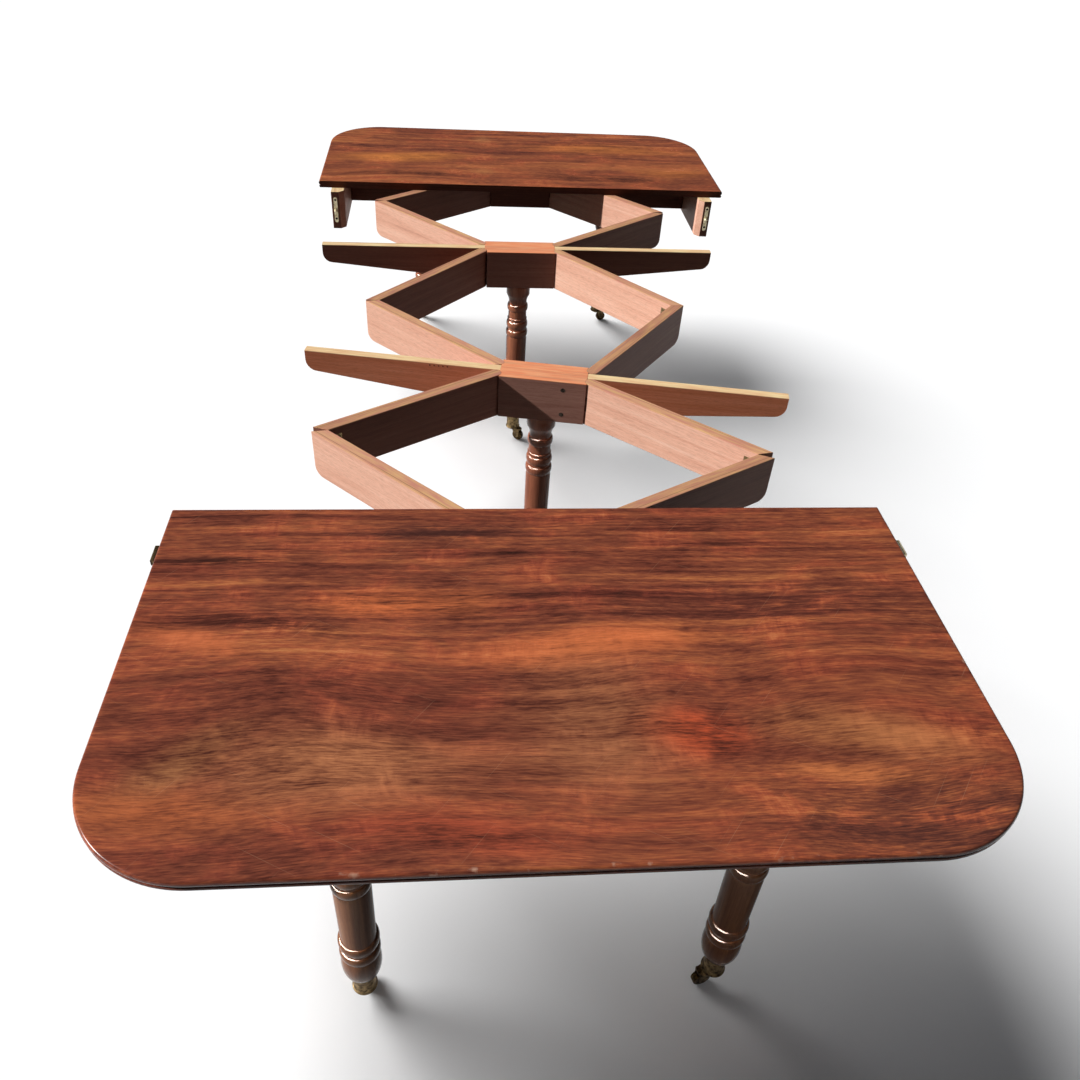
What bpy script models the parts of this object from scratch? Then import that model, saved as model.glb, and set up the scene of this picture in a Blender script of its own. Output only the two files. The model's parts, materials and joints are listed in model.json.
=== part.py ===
# Concertina extending dining table, drawn open, without loose leaves.
# Metres, +Z up, origin on the floor below the middle of the object's box.

import math

import bmesh
import bpy
from mathutils import Matrix, Vector

# Tops
TABLE_WIDTH = 1.400
TABLE_HEIGHT = 0.720
NEAR_TOP_DEPTH = 0.784
FAR_TOP_DEPTH = 0.626
STRIP_DEPTH = 0.120
TOP_THICKNESS = 0.022
TOP_CORNER_RADIUS = 0.190
TOP_EDGE_ROUND = 0.006
CLIP_LENGTH = 0.043
CLIP_PROUD = 0.008
CLIP_HEIGHT = 0.012

# Folding rails and centre blocks
RAIL_THICKNESS = 0.029
RAIL_HEIGHT = 0.115
RAIL_TOE_ROUND = 0.022
MITRE = math.radians(38.0)
PIN_SPREAD = 0.118
BLOCK_END = 0.010
ARM_THICKNESS = 0.024
ARM_ROOT_HEIGHT = 0.105
ARM_TIP_HEIGHT = 0.053
ARM_TOE_ROUND = 0.026
ARM_TENON_LENGTH = 0.030
ARM_TENON_HEIGHT = 0.060

# Knuckles at the blocks and hinges at the outer corners
PIN_RADIUS = 0.004
LUG_TRIM = 0.0002
LUG_WEB = 0.007
HINGE_BARREL_RADIUS = 0.0055
HINGE_PIN_RADIUS = 0.0025
HINGE_BED = 0.0004
HINGE_ABOVE_FOOT = 0.032
HINGE_BELOW_TOP = 0.018

# End frames
APRON_INSET = 0.042
APRON_WIDTH = 0.043
APRON_HEIGHT = 0.125
APRON_PROUD = 0.040
APRON_CHAMFER = 0.017
LEG_RAIL_WIDTH = 0.060
HINGE_RAIL_WIDTH = 0.040
NEAR_PIN_SETBACK = 0.012
PEG_RADIUS = 0.0055
PEG_PROUD = 0.012
PEG_SHANK = 0.020

# Legs, measured down from under the blocks or up from the rim of the castor's cup
LEG_INSET = 0.180
NEAR_LEG_SPREAD = 0.338
FAR_LEG_SPREAD = 0.365
LEG_RADIUS = 0.033
NECK_RADIUS = 0.037
THROAT_RADIUS = 0.0287
BULB_RADIUS = 0.0373
SPIGOT_RADIUS = 0.015
SPIGOT_LENGTH = 0.035
NECK_DROP = 0.034
THROAT_DROP = 0.060
RING_DROPS = (0.079, 0.138, 0.168)
RING_HALF = 0.012
RING_BULGE = 0.0045
RING_STEP = 0.0010
SHAFT_DROP = 0.188
SHAFT_RISE = 0.140
SHAFT_TAPER = 0.97
COLLAR_RISE = 0.124
FOOT_RING_RISE = 0.091
BULB_RISE = 0.048

# Castors
CUP_TOP = 0.100
CUP_RADIUS = 0.022
CUP_WALL = 0.0022
CUP_RIM = 0.002
CUP_BAND = 0.006
CUP_LIFT = 0.008
CUP_BASE = 0.008
PLATE_LIFT = 0.0022
PLATE_RADIUS = 0.013
HORN_RADIUS = 0.0115
CHEEK_THICKNESS = 0.003
CHEEK_FOOT = 0.007
CHEEK_HEEL = 0.018
CHEEK_TOE = 0.009
STEM_RADIUS = 0.006
AXLE_RADIUS = 0.003
WHEEL_RADIUS = 0.019
WHEEL_WIDTH = 0.015
WHEEL_EASE = 0.0025
CASTOR_TRAIL = 0.022

# Clearances
SEAT_GAP = 0.0003
RAIL_DROP = 0.001
NEST_GAP = 0.001
FACE_GAP = 0.00075
COVE_GAP = 0.0005
KNUCKLE_GAP = 0.0004
PIN_GAP = 0.0005
HINGE_GAP = 0.0007
TOP_GAP = 0.002
APRON_GAP = 0.001
ARM_GAP = 0.015
RAIL_TIP_GAP = 0.0018
SOCKET_GAP = 0.0024
OPEN_PIVOT_ROOM = 0.0060
OPEN_PIVOT_SIDE = 0.0006
SWIVEL_GAP = 0.0005
WHEEL_GAP = 0.0007

# Resting pose: angles between the right-hand rails and the pieces they are pinned to.
# The middle diamond stands open almost against its mitred corners.
CORNER_STOP = math.pi - 2 * MITRE
CORNER_SLACK = math.radians(1.55)
SWING_MARGIN = math.radians(4.0)
NEAR_BLOCK_YAW = math.radians(-10.3)
FAR_BLOCK_YAW = 0.0
NEAR_END_YAW = 0.0
FAR_END_YAW = 0.0
NEAR_FOLDS = (math.radians(30.2), math.radians(29.1))
MIDDLE_FOLD = math.radians(63.0)
MIDDLE_FOLDS = (MIDDLE_FOLD, CORNER_STOP - CORNER_SLACK - MIDDLE_FOLD + FAR_BLOCK_YAW - NEAR_BLOCK_YAW)
FAR_FOLDS = (math.radians(38.1), math.radians(45.7))
CASTOR_YAWS = {
    "near_left": math.radians(75.0),
    "near_right": math.radians(195.0),
    "near_block": math.radians(120.0),
    "far_block": math.radians(-35.0),
    "far_left": math.radians(150.0),
    "far_right": math.radians(10.0),
}

# Roundness
ROUND_STEPS = 16
PIN_STEPS = 8
LEG_STEPS = 12
BEAD_STEPS = 3

# Colour, roughness and metallic value of each finish
LOOKS = {
    "polished_top": ((0.180, 0.052, 0.026), 0.22, 0.0),
    "waxed_rail": ((0.420, 0.175, 0.090), 0.48, 0.0),
    "waxed_block": ((0.360, 0.120, 0.055), 0.42, 0.0),
    "dark_frame": ((0.085, 0.030, 0.020), 0.55, 0.0),
    "polished_leg": ((0.130, 0.040, 0.022), 0.25, 0.0),
    "brass": ((0.480, 0.330, 0.120), 0.35, 1.0),
    "dark_brass": ((0.160, 0.120, 0.065), 0.45, 1.0),
}

# Sizes that follow from the ones above
FRAME_TOP = TABLE_HEIGHT - TOP_THICKNESS - SEAT_GAP
RAIL_TOP = FRAME_TOP - RAIL_DROP
RAIL_FOOT = RAIL_TOP - RAIL_HEIGHT
LEG_TOP = RAIL_FOOT - SEAT_GAP
HALF_RAIL = RAIL_THICKNESS / 2
PIN_OFFSET = ARM_THICKNESS / 2 + NEST_GAP + HALF_RAIL
HALF_BLOCK = PIN_OFFSET + HALF_RAIL
BLOCK_REACH = PIN_SPREAD - BLOCK_END
CORNER_OFFSET = HALF_RAIL + FACE_GAP
MITRE_REACH = (HALF_RAIL + CORNER_OFFSET) * math.tan(MITRE)
APRON_OUTER = TABLE_WIDTH / 2 - APRON_INSET
APRON_INNER = APRON_OUTER - APRON_WIDTH
ARM_REACH = APRON_INNER - ARM_GAP
RAIL_LENGTH = ARM_REACH - RAIL_TIP_GAP - MITRE_REACH - PIN_SPREAD
LINK = math.hypot(RAIL_LENGTH, CORNER_OFFSET)
CLOSED_STACK = 3 * (RAIL_THICKNESS + 2 * FACE_GAP) + 4 * PIN_OFFSET
FAR_PIN_SETBACK = CLOSED_STACK - NEAR_PIN_SETBACK - TOP_GAP
NEAR_APRON_SETBACK = APRON_PROUD + APRON_GAP - TOP_GAP
COVE_RADIUS = HALF_RAIL + COVE_GAP
LUG_RADIUS = HALF_RAIL - LUG_TRIM
KNUCKLE = RAIL_HEIGHT / 3
LUG_FOOT = RAIL_FOOT + KNUCKLE
LUG_TOP = RAIL_TOP - KNUCKLE
HINGE_FOOT = RAIL_FOOT + HINGE_ABOVE_FOOT
HINGE_THIRD = (RAIL_HEIGHT - HINGE_ABOVE_FOOT - HINGE_BELOW_TOP) / 3
PEG_HEIGHT = FRAME_TOP - APRON_HEIGHT / 2
AXLE_HEIGHT = WHEEL_RADIUS * math.cos(math.pi / ROUND_STEPS)
CUP_FLOOR = 2 * WHEEL_RADIUS + CUP_LIFT
RAIL_SWING = MIDDLE_FOLD + SWING_MARGIN


def clear_scene():
    for item in list(bpy.data.objects):
        bpy.data.objects.remove(item)


def finish(node, look):
    colour, roughness, metallic = LOOKS[look]
    material = bpy.data.materials.new(node)
    material.use_nodes = True
    shader = material.node_tree.nodes["Principled BSDF"]
    shader.inputs["Base Color"].default_value = (*colour, 1.0)
    shader.inputs["Roughness"].default_value = roughness
    shader.inputs["Metallic"].default_value = metallic
    return material


def to_mesh(name, shape):
    bmesh.ops.recalc_face_normals(shape, faces=shape.faces)
    mesh = bpy.data.meshes.new(name)
    shape.to_mesh(mesh)
    shape.free()
    return mesh


def piece(name, mesh, look, seat, pivot):
    """Add a node whose mesh is drawn in the frame `seat`, hung on an empty at `pivot`."""
    node = bpy.data.objects.new(name, mesh)
    bpy.context.scene.collection.objects.link(node)
    mesh.materials.append(finish(name, look))
    node.parent = pivot
    node.matrix_basis = pivot.matrix_basis.inverted() @ seat
    return node


def pivot_at(name, seat):
    empty = bpy.data.objects.new(name, None)
    empty.matrix_basis = seat
    bpy.context.scene.collection.objects.link(empty)
    return empty


def boolean(node, shape, operation):
    """Cut `shape` from a node, or join it on, with a hidden tool drawn in the node's frame."""
    tool = bpy.data.objects.new(node.name + "_tool", to_mesh(node.name + "_tool", shape))
    bpy.context.scene.collection.objects.link(tool)
    tool.parent = node.parent
    tool.matrix_basis = node.matrix_basis
    tool.hide_render = True
    tool.display_type = "WIRE"
    change = node.modifiers.new(operation.lower(), "BOOLEAN")
    change.operation = operation
    change.solver = "EXACT"
    change.object = tool


def add_prism(shape, outline, low, high):
    """Extrude an outline of (x, y) points from height low to high."""
    base = shape.faces.new([shape.verts.new((x, y, low)) for x, y in outline])
    grown = bmesh.ops.extrude_face_region(shape, geom=[base])["geom"]
    top = [item for item in grown if isinstance(item, bmesh.types.BMVert)]
    bmesh.ops.translate(shape, vec=(0, 0, high - low), verts=top)
    return shape


def add_panel(shape, outline, low, high):
    """Extrude an outline of (x, z) points along Y from low to high."""
    base = shape.faces.new([shape.verts.new((x, low, z)) for x, z in outline])
    grown = bmesh.ops.extrude_face_region(shape, geom=[base])["geom"]
    far = [item for item in grown if isinstance(item, bmesh.types.BMVert)]
    bmesh.ops.translate(shape, vec=(0, high - low, 0), verts=far)
    return shape


def add_box(shape, low, high):
    outline = [(low[0], low[1]), (high[0], low[1]), (high[0], high[1]), (low[0], high[1])]
    return add_prism(shape, outline, low[2], high[2])


def add_spun(shape, profile, steps, seat=None):
    """Spin a closed loop of (radius, height) points, or one that ends on the axis, about Z."""
    spun = bmesh.new()
    points = [spun.verts.new((radius, 0, height)) for radius, height in profile]
    edges = [spun.edges.new(pair) for pair in zip(points, points[1:])]
    if profile[0][0] > 0:
        edges.append(spun.edges.new((points[-1], points[0])))
    bmesh.ops.spin(spun, geom=points + edges, axis=(0, 0, 1), cent=(0, 0, 0), dvec=(0, 0, 0),
                   angle=2 * math.pi, steps=steps, use_merge=True, use_duplicate=False)
    bmesh.ops.remove_doubles(spun, verts=spun.verts, dist=0.00001)
    bmesh.ops.recalc_face_normals(spun, faces=spun.faces)
    if seat is not None:
        spun.transform(seat)
    holder = bpy.data.meshes.new("spun")
    spun.to_mesh(holder)
    spun.free()
    shape.from_mesh(holder)
    bpy.data.meshes.remove(holder)
    return shape


def rod(radius, low, high):
    return [(0, high), (radius, high), (radius, low), (0, low)]


def ring(inner, outer, low, high):
    return [(inner, high), (outer, high), (outer, low), (inner, low)]


def arc(centre, radius, start, end, steps):
    """Points of an arc, with its angles in degrees."""
    angles = [math.radians(start + (end - start) * step / steps) for step in range(steps + 1)]
    return [(centre[0] + radius * math.cos(a), centre[1] + radius * math.sin(a)) for a in angles]


def round_edges(shape, wanted, width, segments):
    edges = [edge for edge in shape.edges if all(wanted(vert.co) for vert in edge.verts)]
    bmesh.ops.bevel(shape, geom=edges, offset=width, offset_type="OFFSET", affect="EDGES",
                    segments=segments, profile=0.5, material=-1, clamp_overlap=True)


def turned(name, profile, steps, look, seat, pivot):
    """Lathe a profile that runs from the axis at the top to the axis at the foot, or a loop."""
    points = [(radius, 0, height) for radius, height in profile]
    edges = [(index, index + 1) for index in range(len(points) - 1)]
    if profile[0][0] > 0:
        edges.append((len(points) - 1, 0))
    mesh = bpy.data.meshes.new(name)
    mesh.from_pydata(points, edges, [])
    node = piece(name, mesh, look, seat, pivot)
    lathe = node.modifiers.new("lathe", "SCREW")
    lathe.axis = "Z"
    lathe.angle = 2 * math.pi
    lathe.steps = steps
    lathe.render_steps = steps
    lathe.use_merge_vertices = True
    lathe.merge_threshold = 0.00001
    lathe.use_smooth_shade = True
    return node


def frame_at(point, yaw):
    return Matrix.Translation((point[0], point[1], 0)) @ Matrix.Rotation(yaw, 4, "Z")


def spot(seat, x, y, z=0.0):
    return seat @ Vector((x, y, z))


def shift(seat, x, y, z=0.0):
    return seat @ Matrix.Translation((x, y, z))


def right_fold(host, host_pin, way, folds, yaw, mover_pin):
    """Follow the right-hand rails from a host's pin to the piece they carry."""
    pin = spot(host, PIN_SPREAD, host_pin)
    first = frame_at(pin, host.to_euler().z + way * folds[0])
    corner = spot(first, RAIL_LENGTH, way * CORNER_OFFSET)
    heading = Matrix.Rotation(yaw - way * folds[1], 4, "Z")
    far_pin = corner - heading @ Vector((RAIL_LENGTH, -way * CORNER_OFFSET, 0))
    second = Matrix.Translation(far_pin) @ heading
    centre = far_pin - Matrix.Rotation(yaw, 4, "Z") @ Vector((PIN_SPREAD, mover_pin, 0))
    return {"first": first, "second": second, "corner": corner, "inner": way}, frame_at(centre, yaw)


def left_fold(host, host_pin, way, mover, mover_pin):
    """Close the diamond on the left with two equal rails."""
    pin = spot(host, -PIN_SPREAD, host_pin)
    far_pin = spot(mover, -PIN_SPREAD, mover_pin)
    span = far_pin - pin
    across = Vector((-span.y, span.x, 0)).normalized() * way
    corner = (pin + far_pin) / 2 + across * math.sqrt(LINK ** 2 - span.length_squared / 4)
    lean = math.atan2(CORNER_OFFSET, RAIL_LENGTH)
    to_corner = corner - pin
    from_corner = corner - far_pin
    first = frame_at(pin, math.atan2(to_corner.y, to_corner.x) + way * lean)
    second = frame_at(far_pin, math.atan2(from_corner.y, from_corner.x) - way * lean)
    return {"first": first, "second": second, "corner": corner, "inner": -way}


def resting_pose():
    """Seats of the blocks, ends and rails, with the whole object centred on the origin."""
    near_block = Matrix.Rotation(NEAR_BLOCK_YAW, 4, "Z")
    near_end_pin = -NEAR_PIN_SETBACK
    far_end_pin = FAR_PIN_SETBACK
    near_right, near_end = right_fold(near_block, -PIN_OFFSET, -1, NEAR_FOLDS,
                                      NEAR_END_YAW, near_end_pin)
    middle_right, far_block = right_fold(near_block, PIN_OFFSET, 1, MIDDLE_FOLDS,
                                         FAR_BLOCK_YAW, -PIN_OFFSET)
    far_right, far_end = right_fold(far_block, PIN_OFFSET, 1, FAR_FOLDS, FAR_END_YAW, far_end_pin)
    hosts = {"near_block": near_block, "far_block": far_block,
             "near_end": near_end, "far_end": far_end}
    folds = {
        "near_right": near_right,
        "near_left": left_fold(near_block, -PIN_OFFSET, -1, near_end, near_end_pin),
        "middle_right": middle_right,
        "middle_left": left_fold(near_block, PIN_OFFSET, 1, far_block, -PIN_OFFSET),
        "far_right": far_right,
        "far_left": left_fold(far_block, PIN_OFFSET, 1, far_end, far_end_pin),
    }
    left = min(near_end.translation.x - CLIP_PROUD - SEAT_GAP, far_end.translation.x)
    right = max(near_end.translation.x + CLIP_PROUD + SEAT_GAP, far_end.translation.x)
    front = near_end.translation.y - NEAR_TOP_DEPTH
    back = far_end.translation.y + FAR_TOP_DEPTH
    centring = Matrix.Translation((-(left + right) / 2, -(front + back) / 2, 0))
    for name, seat in hosts.items():
        hosts[name] = centring @ seat
    for fold in folds.values():
        fold["first"] = centring @ fold["first"]
        fold["second"] = centring @ fold["second"]
        fold["corner"] = centring @ fold["corner"]
    return hosts, folds


def spool(radii, inset, overrun):
    """Three stacked rounds about a corner hinge's axis, as a profile from top to foot."""
    top, upper, lower, foot = [HINGE_FOOT + HINGE_THIRD * step for step in (3, 2, 1, 0)]
    return [(0, top + overrun), (radii[0], top + overrun), (radii[0], upper + inset),
            (radii[1], upper + inset), (radii[1], lower - inset), (radii[0], lower - inset),
            (radii[0], foot - overrun), (0, foot - overrun)]


def rail(name, seat, inner, barrel_in_middle, knuckled, pivot):
    """A folding rail: round knuckled end at its pin, mitred end with half a hinge."""
    lip = (CORNER_OFFSET - HALF_RAIL) * math.tan(MITRE)
    outline = [(x, y * inner) for x, y in arc((0, 0), HALF_RAIL, 90, 270, 8)]
    outline.append((RAIL_LENGTH + MITRE_REACH, -HALF_RAIL * inner))
    outline.append((RAIL_LENGTH + lip, HALF_RAIL * inner))
    shape = add_prism(bmesh.new(), outline, RAIL_FOOT, RAIL_TOP)
    round_edges(shape, lambda co: co.x > RAIL_LENGTH and co.z < RAIL_FOOT + SEAT_GAP, RAIL_TOE_ROUND, 4)
    node = piece(name, to_mesh(name, shape), "waxed_rail", seat, pivot)
    axis = Matrix.Translation((RAIL_LENGTH, CORNER_OFFSET * inner, 0))
    bedded = HINGE_BARREL_RADIUS - HINGE_BED
    cleared = HINGE_BARREL_RADIUS + HINGE_GAP
    recess = (cleared, bedded) if barrel_in_middle else (bedded, cleared)
    cuts = add_spun(bmesh.new(), spool(recess, 0, KNUCKLE_GAP), PIN_STEPS, axis)
    if knuckled:
        slot = ring(PIN_RADIUS, COVE_RADIUS, LUG_FOOT - KNUCKLE_GAP / 2, LUG_TOP + KNUCKLE_GAP / 2)
        add_spun(cuts, slot, ROUND_STEPS)
    boolean(node, cuts, "DIFFERENCE")
    if barrel_in_middle:
        low = HINGE_FOOT + HINGE_THIRD + KNUCKLE_GAP / 2
        high = HINGE_FOOT + 2 * HINGE_THIRD - KNUCKLE_GAP / 2
        barrel = ring(HINGE_PIN_RADIUS + PIN_GAP, HINGE_BARREL_RADIUS, low, high)
    else:
        barrel = spool((HINGE_BARREL_RADIUS, HINGE_PIN_RADIUS), KNUCKLE_GAP / 2, 0)
    boolean(node, add_spun(bmesh.new(), barrel, PIN_STEPS, axis), "UNION")
    return node


def cove_outline(x, y, inner):
    """A rail's round end and the start of its length at full swing."""
    side = math.copysign(1.0, x)
    outline = arc((0, 0), COVE_RADIUS, math.degrees(RAIL_SWING) + 90, 360, 12)
    reach = 2 * COVE_RADIUS
    edge = Matrix.Rotation(RAIL_SWING, 2) @ Vector((reach, COVE_RADIUS))
    outline += [(reach, reach), (edge.x, edge.y)]
    return [(x + side * px, y + inner * py) for px, py in outline]


def slot_outline(x, y, inner, room):
    """A round-backed slot, open toward the diamond, for a rail end that no pin holds."""
    radius = COVE_RADIUS + OPEN_PIVOT_SIDE
    outline = arc((0, -room), radius, 180, 360, 10)
    outline += [(radius, 2 * radius), (-radius, 2 * radius)]
    return [(x + px, y + inner * py) for px, py in outline]


def knuckle_sites(node, sites, plain_sites):
    """Cove a host round its rails' ends, then give it a bored lug at each site that is pinned."""
    coves = bmesh.new()
    lugs = bmesh.new()
    bores = bmesh.new()
    outlines = [cove_outline(*site) for site in sites] + [slot_outline(*site) for site in plain_sites]
    for outline in outlines:
        add_prism(coves, outline, RAIL_FOOT - KNUCKLE, RAIL_TOP + KNUCKLE)
    for x, y, inner in sites:
        side = math.copysign(1.0, x)
        add_spun(bores, rod(PIN_RADIUS + PIN_GAP, RAIL_FOOT, RAIL_TOP), PIN_STEPS,
                 Matrix.Translation((x, y, 0)))
        root = x - side * (COVE_RADIUS + BLOCK_END)
        meet = math.degrees(math.asin(LUG_WEB / LUG_RADIUS))
        outline = [(root, y - inner * LUG_RADIUS)]
        for px, py in arc((0, 0), LUG_RADIUS, -90, 180 - meet, 10):
            outline.append((x + side * px, y + inner * py))
        outline.append((root, y + inner * LUG_WEB))
        add_prism(lugs, outline, LUG_FOOT + KNUCKLE_GAP / 2, LUG_TOP - KNUCKLE_GAP / 2)
    boolean(node, coves, "DIFFERENCE")
    boolean(node, lugs, "UNION")
    boolean(node, bores, "DIFFERENCE")


def centre_block(name, seat, open_front_left, pivot):
    """The thick block over a middle leg, with an arm let into each end."""
    shape = add_box(bmesh.new(), (-BLOCK_REACH, -HALF_BLOCK, RAIL_FOOT), (BLOCK_REACH, HALF_BLOCK, RAIL_TOP))
    node = piece(name, to_mesh(name, shape), "waxed_block", seat, pivot)
    sites = [(side * PIN_SPREAD, face * PIN_OFFSET, face) for side in (-1, 1) for face in (-1, 1)]
    open_site = (-PIN_SPREAD, -PIN_OFFSET, -1)
    if open_front_left:
        sites.remove(open_site)
        knuckle_sites(node, sites, [(*open_site, 0)])
    else:
        knuckle_sites(node, sites, [])
    sockets = add_spun(bmesh.new(), rod(SPIGOT_RADIUS + SEAT_GAP, RAIL_FOOT - SPIGOT_LENGTH,
                                        LEG_TOP + SPIGOT_LENGTH + SEAT_GAP), LEG_STEPS)
    for side in (-1, 1):
        ends = sorted((side * (BLOCK_REACH - ARM_TENON_LENGTH - SEAT_GAP), side * (BLOCK_REACH + BLOCK_END)))
        half = ARM_THICKNESS / 2 + SEAT_GAP
        low, high = tenon_span()
        add_box(sockets, (ends[0], -half, low - SEAT_GAP), (ends[1], half, high + SEAT_GAP))
    boolean(node, sockets, "DIFFERENCE")
    return node


def tenon_span():
    middle = RAIL_TOP - ARM_ROOT_HEIGHT / 2
    return middle - ARM_TENON_HEIGHT / 2, middle + ARM_TENON_HEIGHT / 2


def arm(name, seat, side, pivot):
    """A leaf bearer that runs out from a block, its underside rising to a rounded toe."""
    root = BLOCK_REACH + SEAT_GAP
    heel = BLOCK_REACH - ARM_TENON_LENGTH
    low, high = tenon_span()
    outline = [(root, RAIL_TOP), (ARM_REACH, RAIL_TOP), (ARM_REACH, RAIL_TOP - ARM_TIP_HEIGHT),
               (root, RAIL_TOP - ARM_ROOT_HEIGHT), (root, low), (heel, low), (heel, high), (root, high)]
    shape = add_panel(bmesh.new(), [(side * x, z) for x, z in outline],
                      -ARM_THICKNESS / 2, ARM_THICKNESS / 2)
    toe = RAIL_TOP - ARM_TIP_HEIGHT
    round_edges(shape, lambda co: abs(co.x) > ARM_REACH - SEAT_GAP and co.z < toe + SEAT_GAP,
                ARM_TOE_ROUND, 5)
    return piece(name, to_mesh(name, shape), "waxed_block", seat, pivot)


def top_board(name, seat, out, start, depth, rounded, pivot):
    """A board of a top, from `start` to `depth` outward of the top's inner edge."""
    half = TABLE_WIDTH / 2
    outline = [(-half, start), (half, start)]
    if rounded:
        bend = depth - TOP_CORNER_RADIUS
        outline += arc((half - TOP_CORNER_RADIUS, bend), TOP_CORNER_RADIUS, 0, 90, 10)
        outline += arc((TOP_CORNER_RADIUS - half, bend), TOP_CORNER_RADIUS, 90, 180, 10)
    else:
        outline += [(half, depth), (-half, depth)]
    low = TABLE_HEIGHT - TOP_THICKNESS
    shape = add_prism(bmesh.new(), [(x, out * y) for x, y in outline], low, TABLE_HEIGHT)
    inner_lines = (start,) if rounded else (start, depth)

    def moulded(edge):
        ends = [vert.co for vert in edge.verts]
        level = abs(ends[0].z - ends[1].z) < SEAT_GAP
        plain = any(all(abs(co.y - out * line) < SEAT_GAP for co in ends) for line in inner_lines)
        return level and not plain

    edges = [edge for edge in shape.edges if moulded(edge)]
    bmesh.ops.bevel(shape, geom=edges, offset=TOP_EDGE_ROUND, offset_type="OFFSET", affect="EDGES",
                    segments=2, profile=0.5, material=-1, clamp_overlap=True)
    return piece(name, to_mesh(name, shape), "polished_top", seat, pivot)


def end_frame(end, seat, out, pin_setback, apron_start, depth, leg_spread, open_left, pivot):
    """Two aprons, the rail that carries the legs and the rail that the concertina is pinned to."""
    leg_line = depth - LEG_INSET
    apron_end = leg_line + LEG_RAIL_WIDTH / 2
    for side, word in ((-1, "left"), (1, "right")):
        name = end + "_side_apron_" + word
        chamfer = APRON_CHAMFER if apron_start < 0 else APRON_CHAMFER / 4
        outline = [(APRON_INNER, apron_start + chamfer), (APRON_INNER + chamfer, apron_start),
                   (APRON_OUTER, apron_start), (APRON_OUTER, apron_end), (APRON_INNER, apron_end)]
        shape = add_prism(bmesh.new(), [(side * x, out * y) for x, y in outline],
                          FRAME_TOP - APRON_HEIGHT, FRAME_TOP)
        node = piece(name, to_mesh(name, shape), "dark_frame", seat, pivot)
        peg_x = side * peg_line()
        into = Matrix.Translation((peg_x, out * apron_start, PEG_HEIGHT)) @ Matrix.Rotation(
            out * math.pi / 2, 4, "X")
        room = SEAT_GAP if apron_start < 0 else SOCKET_GAP
        depth_in = PEG_SHANK + SEAT_GAP
        boolean(node, add_spun(bmesh.new(), rod(PEG_RADIUS + room, -depth_in, PEG_PROUD), PIN_STEPS, into),
                "DIFFERENCE")
    cross = APRON_INNER - SEAT_GAP
    sides = sorted((out * (leg_line - LEG_RAIL_WIDTH / 2), out * (leg_line + LEG_RAIL_WIDTH / 2)))
    name = end + "_leg_rail"
    shape = add_box(bmesh.new(), (-cross, sides[0], RAIL_FOOT), (cross, sides[1], FRAME_TOP))
    node = piece(name, to_mesh(name, shape), "dark_frame", seat, pivot)
    sockets = bmesh.new()
    for side in (-1, 1):
        add_spun(sockets, rod(SPIGOT_RADIUS + SEAT_GAP, RAIL_FOOT - SPIGOT_LENGTH,
                              LEG_TOP + SPIGOT_LENGTH + SEAT_GAP),
                 LEG_STEPS, Matrix.Translation((side * leg_spread, out * leg_line, 0)))
    boolean(node, sockets, "DIFFERENCE")
    name = end + "_hinge_rail"
    face = pin_setback + HALF_RAIL + NEST_GAP
    back = face + HINGE_RAIL_WIDTH
    sides = sorted((out * face, out * back))
    shape = add_box(bmesh.new(), (-cross, sides[0], RAIL_FOOT), (cross, sides[1], FRAME_TOP))
    node = piece(name, to_mesh(name, shape), "dark_frame", seat, pivot)
    sides = sorted((out * (pin_setback - HALF_RAIL), out * (face + HINGE_RAIL_WIDTH / 2)))
    boss = add_box(bmesh.new(), (-BLOCK_REACH, sides[0], RAIL_FOOT + RAIL_DROP),
                   (BLOCK_REACH, sides[1], RAIL_TOP))
    boolean(node, boss, "UNION")
    left = (-PIN_SPREAD, out * pin_setback, -out)
    right = (PIN_SPREAD, out * pin_setback, -out)
    if open_left:
        knuckle_sites(node, [right], [(*left, OPEN_PIVOT_ROOM)])
    else:
        knuckle_sites(node, [left, right], [])


def peg_line():
    return (APRON_INNER + APRON_CHAMFER + APRON_OUTER) / 2


def peg(name, seat, side, pivot):
    """A ball-nosed brass dowel in the inner end of a far apron."""
    nose = arc((0, PEG_PROUD - PEG_RADIUS), PEG_RADIUS, 90, 0, 4)
    profile = [(0, PEG_PROUD)] + nose[1:] + [(PEG_RADIUS, -PEG_SHANK), (0, -PEG_SHANK)]
    place = shift(seat, side * peg_line(), -APRON_PROUD, PEG_HEIGHT) @ Matrix.Rotation(math.pi / 2, 4, "X")
    return turned(name, profile, PIN_STEPS, "brass", place, pivot)


def clip(name, seat, side, pivot):
    """A brass clip on the side edges of the near top, over the seam of its strip."""
    inner = TABLE_WIDTH / 2 + SEAT_GAP
    ends = sorted((side * inner, side * (inner + CLIP_PROUD)))
    middle = TABLE_HEIGHT - TOP_THICKNESS / 2
    half = CLIP_LENGTH / 2
    shape = add_box(bmesh.new(), (ends[0], -STRIP_DEPTH - half, middle - CLIP_HEIGHT / 2),
                    (ends[1], -STRIP_DEPTH + half, middle + CLIP_HEIGHT / 2))
    round_edges(shape, lambda co: abs(co.x) > inner + CLIP_PROUD / 2, CLIP_PROUD / 4, 2)
    return piece(name, to_mesh(name, shape), "brass", seat, pivot)


def bead(centre, half, base, bulge):
    """A turned ring: half an ellipse in profile, from its top to its foot."""
    angles = [math.pi * step / BEAD_STEPS for step in range(BEAD_STEPS + 1)]
    return [(base + bulge * math.sin(a), centre + half * math.cos(a)) for a in angles]


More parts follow.
